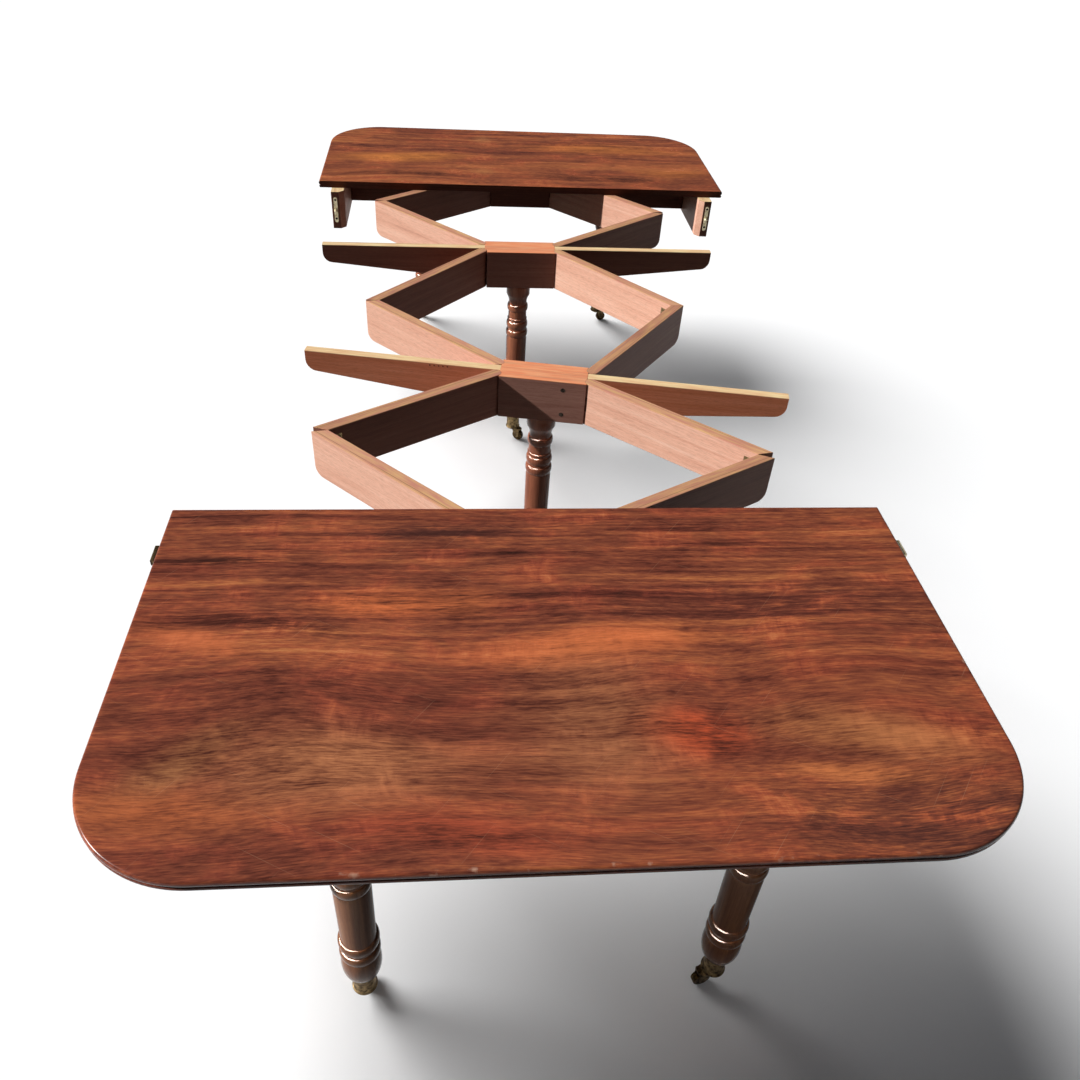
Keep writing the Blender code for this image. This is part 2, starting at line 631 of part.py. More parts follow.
def leg_profile():
    """Neck, three rings, tapering shaft, collar, ring, bulb and the tenon inside the castor's cup."""
    foot = CUP_RADIUS - CUP_WALL - SEAT_GAP
    sole = CUP_FLOOR + CUP_BASE + SEAT_GAP
    profile = [(0, LEG_TOP + SPIGOT_LENGTH), (SPIGOT_RADIUS, LEG_TOP + SPIGOT_LENGTH),
               (SPIGOT_RADIUS, LEG_TOP), (NECK_RADIUS, LEG_TOP), (NECK_RADIUS, LEG_TOP - NECK_DROP),
               (THROAT_RADIUS, LEG_TOP - THROAT_DROP)]
    for index, drop in enumerate(RING_DROPS):
        profile += bead(LEG_TOP - drop, RING_HALF, THROAT_RADIUS + index * RING_STEP, RING_BULGE)
    profile += [(LEG_RADIUS, LEG_TOP - SHAFT_DROP), (LEG_RADIUS * SHAFT_TAPER, CUP_TOP + SHAFT_RISE)]
    for rise in (COLLAR_RISE, FOOT_RING_RISE):
        profile += bead(CUP_TOP + rise, RING_HALF, LEG_RADIUS, RING_BULGE)
    swell = BULB_RADIUS - foot
    for x, y in arc((0, 1), 1, 30, -75, 4):
        profile.append((foot + swell * x, CUP_TOP + BULB_RISE * y))
    profile += [(foot, CUP_TOP), (foot, sole), (0, sole)]
    return profile


def cup_profile():
    """A brass cup with a rim at its foot, bored for the fork's stem, as a closed loop."""
    bore = STEM_RADIUS + PIN_GAP
    inside = CUP_RADIUS - CUP_WALL
    rim = CUP_RADIUS + CUP_RIM
    mouth = CUP_TOP - SEAT_GAP
    floor = CUP_FLOOR + CUP_BASE
    return [(inside, mouth), (inside + CUP_WALL / 2, mouth), (CUP_RADIUS, mouth - CUP_BAND),
            (CUP_RADIUS, CUP_FLOOR + CUP_BAND), (rim, CUP_FLOOR + CUP_BAND), (rim, CUP_FLOOR),
            (bore, CUP_FLOOR), (bore, floor), (inside, floor)]


def fork(name, seat, pivot):
    """The swivelling horn: a plate with a stem, two cheeks and the axle between them."""
    plate_top = CUP_FLOOR - SWIVEL_GAP
    plate_foot = 2 * WHEEL_RADIUS + PLATE_LIFT
    lift = (plate_foot + plate_top) / 2
    outline = arc((0, 0), PLATE_RADIUS, 90, 270, 6) + arc((CASTOR_TRAIL, 0), HORN_RADIUS, -90, 90, 6)
    shape = add_prism(bmesh.new(), outline, plate_foot, plate_top)
    node = piece(name, to_mesh(name, shape), "brass", seat, pivot)
    cheek = arc((CASTOR_TRAIL, AXLE_HEIGHT), CHEEK_FOOT, 190, 350, 6)
    cheek += [(CASTOR_TRAIL + CHEEK_TOE, lift), (CASTOR_TRAIL - CHEEK_HEEL, lift)]
    inside = WHEEL_WIDTH / 2 + WHEEL_GAP
    cheeks = bmesh.new()
    for low in (inside, -inside - CHEEK_THICKNESS):
        add_panel(cheeks, cheek, low, low + CHEEK_THICKNESS)
    boolean(node, cheeks, "UNION")
    pins = add_spun(bmesh.new(), rod(STEM_RADIUS, lift, CUP_FLOOR + CUP_BASE - SWIVEL_GAP), PIN_STEPS)
    across = Matrix.Translation((CASTOR_TRAIL, 0, AXLE_HEIGHT)) @ Matrix.Rotation(math.pi / 2, 4, "X")
    reach = inside + CHEEK_THICKNESS / 2
    add_spun(pins, rod(AXLE_RADIUS, -reach, reach), PIN_STEPS, across)
    boolean(node, pins, "UNION")
    return node


def wheel_profile():
    """A small roller with eased edges, bored for its axle, as a closed loop."""
    bore = AXLE_RADIUS + PIN_GAP
    half = WHEEL_WIDTH / 2
    return [(bore, half), (WHEEL_RADIUS - WHEEL_EASE, half), (WHEEL_RADIUS, half - WHEEL_EASE),
            (WHEEL_RADIUS, WHEEL_EASE - half), (WHEEL_RADIUS - WHEEL_EASE, -half), (bore, -half)]


def foot_set(key, seat, body_pivot):
    """A leg with its castor: cup on the leg, swivelling fork, rolling wheel."""
    turned(key + "_leg", leg_profile(), LEG_STEPS, "polished_leg", seat, body_pivot)
    turned(key + "_castor_cup", cup_profile(), LEG_STEPS, "brass", seat, body_pivot)
    swivel = frame_at(seat.translation, CASTOR_YAWS[key])
    fork(key + "_castor_fork", swivel, pivot_at(key + "_swivel", swivel))
    axle = shift(swivel, CASTOR_TRAIL, 0, AXLE_HEIGHT)
    flat_down = Matrix.Rotation(math.pi / ROUND_STEPS, 4, "Z")
    rolling = axle @ Matrix.Rotation(math.pi / 2, 4, "X") @ flat_down
    turned(key + "_castor_wheel", wheel_profile(), ROUND_STEPS, "dark_brass", rolling,
           pivot_at(key + "_axle", axle))


def build():
    clear_scene()
    hosts, folds = resting_pose()

    # Rails: in each diamond the first pair hangs on the host, the second on the outer corners
    parts = {"near": ("back", "front"), "middle": ("front", "back"), "far": ("front", "back")}
    plain_ends = {"near_left_rail_front", "middle_left_rail_back"}
    for fold_name, fold in folds.items():
        first, second = parts[fold_name.split("_")[0]]
        first_name = fold_name + "_rail_" + first
        second_name = fold_name + "_rail_" + second
        hinge = Matrix.Translation(fold["corner"])
        rail(first_name, fold["first"], fold["inner"], True, first_name not in plain_ends,
             pivot_at(first_name + "_pin", fold["first"]))
        rail(second_name, fold["second"], -fold["inner"], False, second_name not in plain_ends,
             pivot_at(second_name + "_hinge", hinge))

    # Blocks: the near one carries the whole linkage, the far one turns on its front right pin
    pivots = {
        "near_block": pivot_at("near_block_centre", hosts["near_block"]),
        "far_block": pivot_at("far_block_pin", shift(hosts["far_block"], PIN_SPREAD, -PIN_OFFSET)),
        "near_end": pivot_at("near_end_pin", shift(hosts["near_end"], PIN_SPREAD, -NEAR_PIN_SETBACK)),
        "far_end": pivot_at("far_end_pin", shift(hosts["far_end"], PIN_SPREAD, FAR_PIN_SETBACK)),
    }
    for name in ("near_block", "far_block"):
        seat = hosts[name]
        centre_block(name, seat, name == "far_block", pivots[name])
        for side, word in ((-1, "left"), (1, "right")):
            arm(name.replace("block", "arm_") + word, seat, side, pivots[name])
        foot_set(name, seat, pivots[name])

    # Near end: a two-piece top with clips over its seam
    seat, pivot = hosts["near_end"], pivots["near_end"]
    top_board("near_top", seat, -1, STRIP_DEPTH + SEAT_GAP, NEAR_TOP_DEPTH, True, pivot)
    top_board("near_top_strip", seat, -1, 0.0, STRIP_DEPTH, False, pivot)
    end_frame("near", seat, -1, NEAR_PIN_SETBACK, NEAR_APRON_SETBACK, NEAR_TOP_DEPTH,
              NEAR_LEG_SPREAD, True, pivot)
    leg_line = LEG_INSET - NEAR_TOP_DEPTH
    for side, word in ((-1, "left"), (1, "right")):
        clip("strip_clip_" + word, seat, side, pivot)
        foot_set("near_" + word, shift(seat, side * NEAR_LEG_SPREAD, leg_line), pivot)

    # Far end: a one-piece top, its aprons standing out with pegs
    seat, pivot = hosts["far_end"], pivots["far_end"]
    top_board("far_top", seat, 1, 0.0, FAR_TOP_DEPTH, True, pivot)
    end_frame("far", seat, 1, FAR_PIN_SETBACK, -APRON_PROUD, FAR_TOP_DEPTH, FAR_LEG_SPREAD, False, pivot)
    leg_line = FAR_TOP_DEPTH - LEG_INSET
    for side, word in ((-1, "left"), (1, "right")):
        peg("far_peg_" + word, seat, side, pivot)
        foot_set("far_" + word, shift(seat, side * FAR_LEG_SPREAD, leg_line), pivot)


build()
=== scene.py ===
# %% [markdown]
# # A concertina dining table, dressed
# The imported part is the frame: it holds the sizes, the bodies and the joints.
# This script gives that frame its looks. Each wooden or brass node is stood in for by a piece
# with eased edges, fuller turning or a moulded edge, and each piece rides on the node's own body,
# so the table still folds. Nothing here moves or resizes the frame.

# %% Load the frame
import json
import math

import bmesh
import bpy
from mathutils import Matrix, Vector, geometry

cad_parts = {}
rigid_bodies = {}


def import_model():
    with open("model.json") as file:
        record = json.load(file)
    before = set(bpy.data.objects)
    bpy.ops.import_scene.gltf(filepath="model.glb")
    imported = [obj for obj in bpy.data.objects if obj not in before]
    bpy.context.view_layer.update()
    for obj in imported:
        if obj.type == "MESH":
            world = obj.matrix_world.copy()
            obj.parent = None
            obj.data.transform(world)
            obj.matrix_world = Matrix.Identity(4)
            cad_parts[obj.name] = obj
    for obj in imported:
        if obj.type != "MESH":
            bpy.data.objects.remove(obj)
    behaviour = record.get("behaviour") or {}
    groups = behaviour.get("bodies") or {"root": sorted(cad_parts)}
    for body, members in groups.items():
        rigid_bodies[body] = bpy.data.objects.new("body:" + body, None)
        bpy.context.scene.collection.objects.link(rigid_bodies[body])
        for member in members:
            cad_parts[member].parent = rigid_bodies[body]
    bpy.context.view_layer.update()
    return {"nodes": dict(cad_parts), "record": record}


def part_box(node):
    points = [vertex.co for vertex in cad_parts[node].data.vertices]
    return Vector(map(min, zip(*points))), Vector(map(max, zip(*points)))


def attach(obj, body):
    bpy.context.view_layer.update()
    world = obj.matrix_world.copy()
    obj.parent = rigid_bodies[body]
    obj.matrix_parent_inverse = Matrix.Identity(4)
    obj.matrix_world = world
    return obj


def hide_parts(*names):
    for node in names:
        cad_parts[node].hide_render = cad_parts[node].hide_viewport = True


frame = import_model()
behaviour = frame["record"]["behaviour"]
body_of = {node: body for body, nodes in behaviour["bodies"].items() for node in nodes}
slot_of = {row["node"]: row["material_slot"] for row in frame["record"]["subparts"]}
joint_of = {joint["name"]: joint for joint in behaviour["joints"]}

# %% [markdown]
# ## The camera
# The view is from the near end, at standing height, looking down along the table.
# A camera can be turned by Euler angles, but three plain directions are easier to check:
# where it looks, what is to its right, and what is below. The lens follows from the focal
# length in pixels of a picture that is 1080 pixels wide, on Blender's 36 mm sensor.

# %% Place the camera
PICTURE_WIDTH = 1080
FOCAL_PIXELS = 941.41
SENSOR_MM = 36.0
CAMERA_PLACE = Vector((-0.2032, -2.2917, 1.856))
CAMERA_YAW = 0.1183
CAMERA_PITCH = 0.6905
CAMERA_ROLL = -0.0686

level = math.cos(CAMERA_PITCH)
ahead = Vector((math.sin(CAMERA_YAW) * level, math.cos(CAMERA_YAW) * level, -math.sin(CAMERA_PITCH)))
right = Vector((math.cos(CAMERA_YAW), -math.sin(CAMERA_YAW), 0.0))
below = ahead.cross(right)
across = right * math.cos(CAMERA_ROLL) + below * math.sin(CAMERA_ROLL)
down = below * math.cos(CAMERA_ROLL) - right * math.sin(CAMERA_ROLL)
lens = bpy.data.cameras.new("camera")
lens.sensor_width = SENSOR_MM
lens.lens = SENSOR_MM * FOCAL_PIXELS / PICTURE_WIDTH
camera = bpy.data.objects.new("camera", lens)
facing = Matrix((across, -down, -ahead)).transposed().to_4x4()
camera.matrix_world = Matrix.Translation(CAMERA_PLACE) @ facing
bpy.context.scene.collection.objects.link(camera)
bpy.context.scene.camera = camera
print("camera: lens", round(lens.lens, 2), "mm")

# %% [markdown]
# ## Colour and nodes
# Colours are written as sRGB hex values, the way a colour picker shows them, and Blender's
# sockets want linear light, so one function turns the first into the second.
# A second sets a node's inputs, by name or number, each to a plain value or to the output of another
# node. A third adds any node: settings are its own properties, links its inputs, stops the colours of a
# ramp, and out says which output it hands back, or all of them for None. A last one starts a new
# finish. With these a finish reads as a list of what it is made of. A Mix node has other sockets for
# colours than for numbers: the colours go into 6 and 7 and come out at 2.

# %% Helpers for finishes
BLEND = {"data_type": "RGBA", "out": 2}


def linear(code):
    parts = [int(code[start:start + 2], 16) / 255 for start in (1, 3, 5)]
    return [c / 12.92 if c <= 0.04045 else ((c + 0.055) / 1.055) ** 2.4 for c in parts] + [1.0]


def feed(tree, node, links):
    for socket, value in links.items():
        if isinstance(value, bpy.types.NodeSocket):
            tree.links.new(value, node.inputs[socket])
        else:
            node.inputs[socket].default_value = value


def put(tree, kind, links=None, stops=None, out=0, **settings):
    node = tree.nodes.new("ShaderNode" + kind)
    for name, value in settings.items():
        setattr(node, name, value)
    while stops and len(node.color_ramp.elements) < len(stops):
        node.color_ramp.elements.new(1.0)
    for index, (place, colour) in enumerate(stops or []):
        node.color_ramp.elements[index].position = place
        node.color_ramp.elements[index].color = colour
    feed(tree, node, links or {})
    return node.outputs if out is None else node.outputs[out]


def new_finish(name):
    finish = bpy.data.materials.new(name)
    finish.use_nodes = True
    return finish, finish.node_tree, finish.node_tree.nodes["Principled BSDF"]


print("mid grey #808080 is", round(linear("#808080")[0], 3), "in linear light")

# %% [markdown]
# ## Light
# The table stands in low sun from its left, on a white ground. The sun gives the bright left-hand
# faces and sharp shadows on the wood. A very broad lamp stands for the open sky beyond the far end
# and fills the tops. Light linking gives the other lamps a reach of their own. The picture's ground was
# whitened and keeps a soft shadow only, so one broad lamp shines on nothing but the ground, which the
# others leave out. The turned legs stand deep under the tops: they alone get a weak fill from the
# front, and they mirror a bright haze above the sun. A receiver collection names what a lamp lights.

# %% Sun, sky and haze
# name, travel, power, spread in degrees, whether it shows in gloss only, and its reach
LAMPS = (("sun", (1.70, 0.0, -1.0), 5.5, 1.5, False, "table"),
         ("open_sky", (0.30, -0.70, -1.0), 0.6, 60.0, False, "table"),
         ("ground_light", (0.80, -0.60, -1.0), 5.0, 44.0, False, "ground"),
         ("leg_fill", (0.50, 1.0, -0.25), 0.6, 60.0, False, "legs"),
         ("haze", (1.0, 0.40, -1.10), 140.0, 76.0, True, "legs"))

lit = {kind: bpy.data.collections.new("reach_" + kind) for kind in ("table", "ground", "legs")}
for name, travel, power, spread, gloss_only, kind in LAMPS:
    lamp = bpy.data.lights.new(name, "SUN")
    lamp.energy = power
    lamp.angle = math.radians(spread)
    light = bpy.data.objects.new(name, lamp)
    light.rotation_euler = Vector(travel).to_track_quat("-Z", "Y").to_euler()
    light.visible_diffuse = not gloss_only
    light.visible_glossy = gloss_only or name == "sun"
    light.light_linking.receiver_collection = lit[kind]
    bpy.context.scene.collection.objects.link(light)
print("lamps:", ", ".join(row[0] for row in LAMPS))

# %% [markdown]
# ## The dome of the sky
# The world is dark towards the horizon, which keeps the faces turned from the sun deep. A ramp over the
# height of the direction draws that. To the eye the sky has to be white, as the whitened picture is, so
# Light Path asks what kind of ray looks: the camera and glass see plain white, and gloss sees a little
# of it.

# %% Sky
SKY_STOPS = ((0.0, "#0e0f10"), (0.4, "#171719"), (1.0, "#4e5055"))
MIRRORED_SKY = 0.05
WHITE = (1, 1, 1, 1)

sky = bpy.data.worlds.new("sky")
sky.use_nodes = True
bpy.context.scene.world = sky
tree = sky.node_tree
upward = put(tree, "SeparateXYZ", {0: put(tree, "TexCoord", out="Generated")}, out="Z")
shade = put(tree, "ValToRGB", {0: upward}, stops=[(spot, linear(code)) for spot, code in SKY_STOPS])
path = put(tree, "LightPath", out=None)
mirrored = put(tree, "Math", {0: path["Is Glossy Ray"], 1: MIRRORED_SKY}, operation="MULTIPLY")
seen = put(tree, "Math", {0: path["Is Camera Ray"], 1: path["Is Transmission Ray"]}, operation="MAXIMUM")
seen = put(tree, "Math", {0: seen, 1: mirrored}, operation="MAXIMUM")
backdrop = put(tree, "Mix", {0: seen, 6: shade, 7: WHITE}, **BLEND)
feed(tree, tree.nodes["Background"], {"Color": backdrop})
print("sky: gloss sees", MIRRORED_SKY, "of its white")

# %% [markdown]
# ## The ground
# The floor was whitened in the picture until only the table's shadow was left. Seen by the eye it is a white
# glow mixed with matt white, and the matt share holds the shadow.

# %% Ground
GROUND_SIZE = 60.0
SHADOW_SHARE = 0.96
GROUND_WHITE = "#f4f4f4"
GROUND_BOUNCE = "#1f1e1d"

shape = bmesh.new()
bmesh.ops.create_grid(shape, x_segments=1, y_segments=1, size=GROUND_SIZE / 2)
mesh = bpy.data.meshes.new("ground")
shape.to_mesh(mesh)
shape.free()
ground = bpy.data.objects.new("ground", mesh)
bpy.context.scene.collection.objects.link(ground)
matt_white = bpy.data.materials.new("matt_white_ground")
matt_white.use_nodes = True
tree = matt_white.node_tree
tree.nodes.remove(tree.nodes["Principled BSDF"])
path = put(tree, "LightPath", out=None)
seen = put(tree, "Math", {0: path["Is Camera Ray"], 1: path["Is Glossy Ray"]}, operation="MAXIMUM")
seen = put(tree, "Math", {0: seen, 1: path["Is Transmission Ray"]}, operation="MAXIMUM")
glow = put(tree, "Emission", {"Color": WHITE, "Strength": 1.0})
white = put(tree, "BsdfDiffuse", {"Color": linear(GROUND_WHITE)})
dim = put(tree, "BsdfDiffuse", {"Color": linear(GROUND_BOUNCE)})
bright = put(tree, "MixShader", {0: SHADOW_SHARE, 1: glow, 2: white})
shown = put(tree, "MixShader", {0: seen, 1: dim, 2: bright})
feed(tree, tree.nodes["Material Output"], {"Surface": shown})
mesh.materials.append(matt_white)
lit["ground"].objects.link(ground)
lit["table"].objects.link(ground)
lit["table"].collection_objects[0].light_linking.link_state = "EXCLUDE"
bpy.context.scene.view_settings.view_transform = "Standard"
print("ground", GROUND_SIZE, "m wide")

# %% [markdown]
# ## Where the grain runs
# Every board was cut along the grain, so the figure follows the board and not the room. Each
# wooden piece therefore carries two attributes: "grain", the vertex's place in its own board with
# x along the length and z down from its upper face, and "board", a number that moves the pattern so
# that no two boards match.
# One material can then serve many boards, at any angle. The lie of a board is found by
# fitting a rectangle round it, seen from above.

# %% Helpers for boards
BOARD_STEP = 3.7
board_count = 0


def mark_grain(shape, centre, turn):
    """Write each vertex's place in its board, and the board's number, on the mesh."""
    global board_count
    board_count += 1
    grain = shape.verts.layers.float_vector.new("grain")
    board = shape.verts.layers.float.new("board")
    for vert in shape.verts:
        vert[grain] = turn @ (vert.co - centre)
        vert[board] = BOARD_STEP * board_count


def lie_of(shape):
    """The middle of a board's upper face, and the turn that brings its length to the x axis."""
    flat = [vert.co.to_2d() for vert in shape.verts]
    angle = geometry.box_fit_2d(flat)
    turned = [Matrix.Rotation(angle, 2) @ place for place in flat]
    spread = [max(p[k] for p in turned) - min(p[k] for p in turned) for k in (0, 1)]
    if spread[0] < spread[1]:
        angle += math.pi / 2
    low, high = ([f(v.co[k] for v in shape.verts) for k in range(3)] for f in (min, max))
    middle = (Vector(low) + Vector(high)) / 2
    return Vector((middle.x, middle.y, high[2])), Matrix.Rotation(angle, 3, "Z")


def set_out(name, shape, finishes, nodes=(), body=None, sharp=35):
    """Make an object of a finished bmesh, on its body, in place of its CAD nodes."""
    mesh = bpy.data.meshes.new(name)
    shape.to_mesh(mesh)
    shape.free()
    for finish in finishes:
        mesh.materials.append(finish)
    mesh.shade_smooth()
    mesh.set_sharp_from_angle(angle=math.radians(sharp))
    piece = bpy.data.objects.new(name, mesh)
    bpy.context.scene.collection.objects.link(piece)
    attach(piece, body or body_of[nodes[0]])
    if nodes:
        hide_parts(*nodes)
    return piece


print("helpers for boards: mark_grain, lie_of, set_out")

# %% [markdown]
# ## Mahogany
# Mahogany is a red-brown hardwood. Three things make it look so: broad ribbons of lighter and darker
# wood some 40 mm wide and more than half a metre long, fine streaks of a few millimetres, and
# pores that show as short dark dashes. Each is a noise stretched along the grain. An image would
# be easier, but noise has no seams and can be set to real millimetres. The pores are really about 0.3 mm
# wide and are drawn at 1 mm, because finer ones would vanish in the render.

# %% A helper for plain mahogany
RIBBON_MM = (520, 34, 34)
STREAK_MM = (260, 5.5, 5.5)
PORE_MM = (16, 1.0, 1.0)
STREAK_SHARE = 0.45
PORE_DARK = "#2a120c"
GRAIN_RELIEF = 0.0015
WARM_GLOSS = "#f2e0d2"


def per_metre(sizes):
    return [1000 / size for size in sizes]


def stops_of(spots, *codes):
    return [(spot, linear(code)) for spot, code in zip(spots, codes)]


def plain_mahogany(name, stops, pore_depth, roughness, gloss):
    """A mahogany finish with ribbon, streak and pores, and what its own cell goes on to change."""
    finish, tree, shader = new_finish(name)
    place = put(tree, "Attribute", attribute_name="grain", out="Vector")
    board = put(tree, "Attribute", attribute_name="board", out="Fac")
    noises = []
    for sizes, detail, twist in ((RIBBON_MM, 4.0, 0.9), (STREAK_MM, 5.0, 0.4), (PORE_MM, 2.0, 0.0)):
        stretched = put(tree, "Mapping", {"Vector": place, "Scale": per_metre(sizes)})
        dials = {"Vector": stretched, "W": board, "Scale": 1.0, "Detail": detail, "Roughness": 0.6,
                 "Distortion": twist}
        noises.append(put(tree, "TexNoise", dials, noise_dimensions="4D", out="Fac"))
    tone = put(tree, "Mix", {0: STREAK_SHARE, 2: noises[0], 3: noises[1]}, data_type="FLOAT")
    colour = put(tree, "ValToRGB", {0: tone}, stops=stops)
    pores = put(tree, "MapRange", {"Value": noises[2], "From Min": 0.36, "From Max": 0.52,
                                   "To Min": pore_depth, "To Max": 0.0})
    colour = put(tree, "Mix", {0: pores, 6: colour, 7: linear(PORE_DARK)}, **BLEND)
    bump = put(tree, "Bump", {"Height": tone, "Strength": 0.10, "Distance": GRAIN_RELIEF})
    feed(tree, shader, {"Base Color": colour, "Roughness": roughness, "Normal": bump,
                        "Specular IOR Level": gloss, "Specular Tint": linear(WARM_GLOSS)})
    return finish, tree, shader, place, board, colour, tone


print("ribbons", RIBBON_MM[1], "mm wide, streaks", STREAK_MM[1], "mm, pores", PORE_MM[1], "mm")

# %% [markdown]
# ## Waxed boards
# The folding rails were waxed long ago and never polished: dry, pale salmon and satin in the sun. Long
# use has rubbed their upper edges down to orange and gold, with a dark line where two widths of
# wood meet. The depth below the board's own upper face tells where that edge is. The blocks are browner
# and the arms redder, with a cream upper edge. The boards turned from the sun get a darker copy of the
# same wax: that darkness is painted shade, over the shade the light already leaves them.

# %% Waxed mahogany of the rails, blocks and arms
RUBBED_DEPTH = 0.0030
UPPER_SKIN = 0.0004
RUB_MM = (70, 7, 60)
SEAM_OFFSET = 0.0045
SEAM_HALF = 0.0009
SEAM_DARK = "#5f3322"
RAIL_SPOTS = (0.28, 0.42, 0.56, 0.74)
BLOCK_SPOTS = (0.28, 0.42, 0.58, 0.76)
CREAM = ("#e2b88a", "#efd7a4")
WAXED = {"pore_depth": 0.22, "roughness": 0.52, "gloss": 0.28}


def waxed_mahogany(name, stops, rubbed, bare, seam):
    """Waxed wood whose upper face is rubbed to one colour and in places to a barer one."""
    finish, tree, shader, place, board, colour, tone = plain_mahogany(name, stops, **WAXED)
    spot = put(tree, "SeparateXYZ", {0: place}, out=None)
    edge = put(tree, "MapRange", {"Value": spot["Z"], "From Min": -RUBBED_DEPTH, "From Max": -UPPER_SKIN},
               interpolation_type="SMOOTHSTEP")
    stretched = put(tree, "Mapping", {"Vector": place, "Scale": per_metre(RUB_MM)})
    rub = put(tree, "TexNoise", {"Vector": stretched, "W": board, "Scale": 1.0, "Detail": 5.0,
                                 "Roughness": 0.62}, noise_dimensions="4D", out="Fac")
    barer = put(tree, "MapRange", {"Value": rub, "From Min": 0.40, "From Max": 0.62})
    upper = put(tree, "Mix", {0: barer, 6: linear(rubbed), 7: linear(bare)}, **BLEND)
    shaded = put(tree, "MapRange", {"Value": tone, "From Min": 0.34, "From Max": 0.50, "To Min": 0.45})
    upper = put(tree, "Mix", {0: shaded, 6: colour, 7: upper}, **BLEND)
    colour = put(tree, "Mix", {0: edge, 6: colour, 7: upper}, **BLEND)
    aside = put(tree, "Math", {0: spot["Y"], 1: SEAM_OFFSET}, operation="SUBTRACT")
    aside = put(tree, "Math", {0: aside}, operation="ABSOLUTE")
    line = put(tree, "MapRange", {"Value": aside, "From Min": SEAM_HALF, "From Max": SEAM_HALF / 3})
    broken = put(tree, "MapRange", {"Value": rub, "From Min": 0.38, "From Max": 0.52, "To Max": seam})
    line = put(tree, "Math", {0: line, 1: broken}, operation="MULTIPLY")
    line = put(tree, "Math", {0: line, 1: edge}, operation="MULTIPLY")
    colour = put(tree, "Mix", {0: line, 6: colour, 7: linear(SEAM_DARK)}, **BLEND)
    feed(tree, shader, {"Base Color": colour})
    return finish


# where the colours stand, the colours, the rubbed and the bare upper edge, and the strength of the seam
WAXES = {
    "rail": (RAIL_SPOTS, ("#c08b76", "#dba48b", "#e6b39a", "#f0c6af"), ("#c38470", "#d2a574"), 0.8),
    # the row below is the rail wax again, darker: painted shade for the rails turned from the sun
    "rail_painted_shade": (RAIL_SPOTS, ("#6a4337", "#815344", "#906150", "#a1725f"), ("#b57b66", "#c79a6c"), 0.8),
    "block": (BLOCK_SPOTS, ("#7c5246", "#96695b", "#a6796a", "#b48a7a"), ("#e58a60", "#eaa478"), 0.3),
    "arm": (BLOCK_SPOTS, ("#9c583f", "#c3724f", "#d28361", "#dc9574"), CREAM, 0.2),
    # the row below is the arm wax again, darker: painted shade for the far arms and the aprons
    "arm_painted_shade": (BLOCK_SPOTS, ("#6a3f33", "#835040", "#935f4d", "#a3705d"), CREAM, 0.2),
}
wax = {}
for kind, (spots, codes, upper, seam) in WAXES.items():
    wax[kind] = waxed_mahogany("waxed_mahogany_" + kind, stops_of(spots, *codes), *upper, seam)
    print("waxed finish:", wax[kind].name)

# %% [markdown]
# ## Dark frame and polished legs
# The frames under the tops are coloured nearly black: painted shade, where the tops shade them. The legs
# were turned, stained and polished, so they are dark too, but glossy: the light draws a bright line
# round each ring. The two near legs are a golder brown than the others. All are the same wood with
# another range of colours and another sheen.

# %% Finishes of frame and legs
FRAME_SPOTS = (0.30, 0.50, 0.70, 0.85)
LEG_SPOTS = (0.30, 0.46, 0.60, 0.80)
NEAR_LEG_SPOTS = (0.30, 0.46, 0.58, 0.72)
TURNED = {"pore_depth": 0.15, "roughness": 0.17, "gloss": 0.18}

# nearly black: painted shade for the frame where the tops shade it
frame_painted_shade, *_ = plain_mahogany("mahogany_frame_painted_shade",
                                stops_of(FRAME_SPOTS, "#3a1d16", "#5c3428", "#7a4a3a", "#8d5c48"),
                                pore_depth=0.4, roughness=0.62, gloss=0.2)
leg_polish, *_ = plain_mahogany("turned_polished_mahogany",
                                stops_of(LEG_SPOTS, "#62382a", "#7c4631", "#8f563c", "#a3684b"), **TURNED)
near_leg_polish, *_ = plain_mahogany("turned_golden_mahogany",
                                     stops_of(NEAR_LEG_SPOTS, "#5c3825", "#72472e", "#835636", "#946646"),
                                     **TURNED)
print("dark finishes:", frame_painted_shade.name, leg_polish.name, near_leg_polish.name)

# %% [markdown]
# ## Brass and iron
# The castors, pegs and clips are cast brass that has dulled: metal, with brown tarnish in patches of
# about a centimetre and bright metal where it is rubbed. The wheels are darker still. Screws are
# blackened iron. A metal needs no colour of gloss of its own, only its base colour and
# how rough it is, and the patches change both. One clip, the pegs and their plates are a pale cream brass,
# only part metallic: partly a dusty film on rubbed metal, partly a painted highlight of brass in the sun.

# %% Metals
DULLER = 0.25


def old_metal(name, bright, tarnish, patch_mm, low, high, roughness, metallic=1.0):
    """Metal with tarnish in patches of a size, where the patches' noise goes from low to high."""
    finish, tree, shader = new_finish(name)
    place = put(tree, "TexCoord", out="Object")
    patches = put(tree, "TexNoise", {"Vector": place, "Scale": 1000 / patch_mm, "Detail": 5.0,
                                     "Roughness": 0.65}, out="Fac")
    share = put(tree, "MapRange", {"Value": patches, "From Min": low, "From Max": high})
    colour = put(tree, "Mix", {0: share, 6: linear(bright), 7: linear(tarnish)}, **BLEND)
    rough = put(tree, "MapRange", {"Value": share, "To Min": roughness, "To Max": roughness + DULLER})
    bump = put(tree, "Bump", {"Height": patches, "Strength": 0.15, "Distance": 0.001})
    feed(tree, shader, {"Base Color": colour, "Metallic": metallic, "Roughness": rough, "Normal": bump})
    return finish


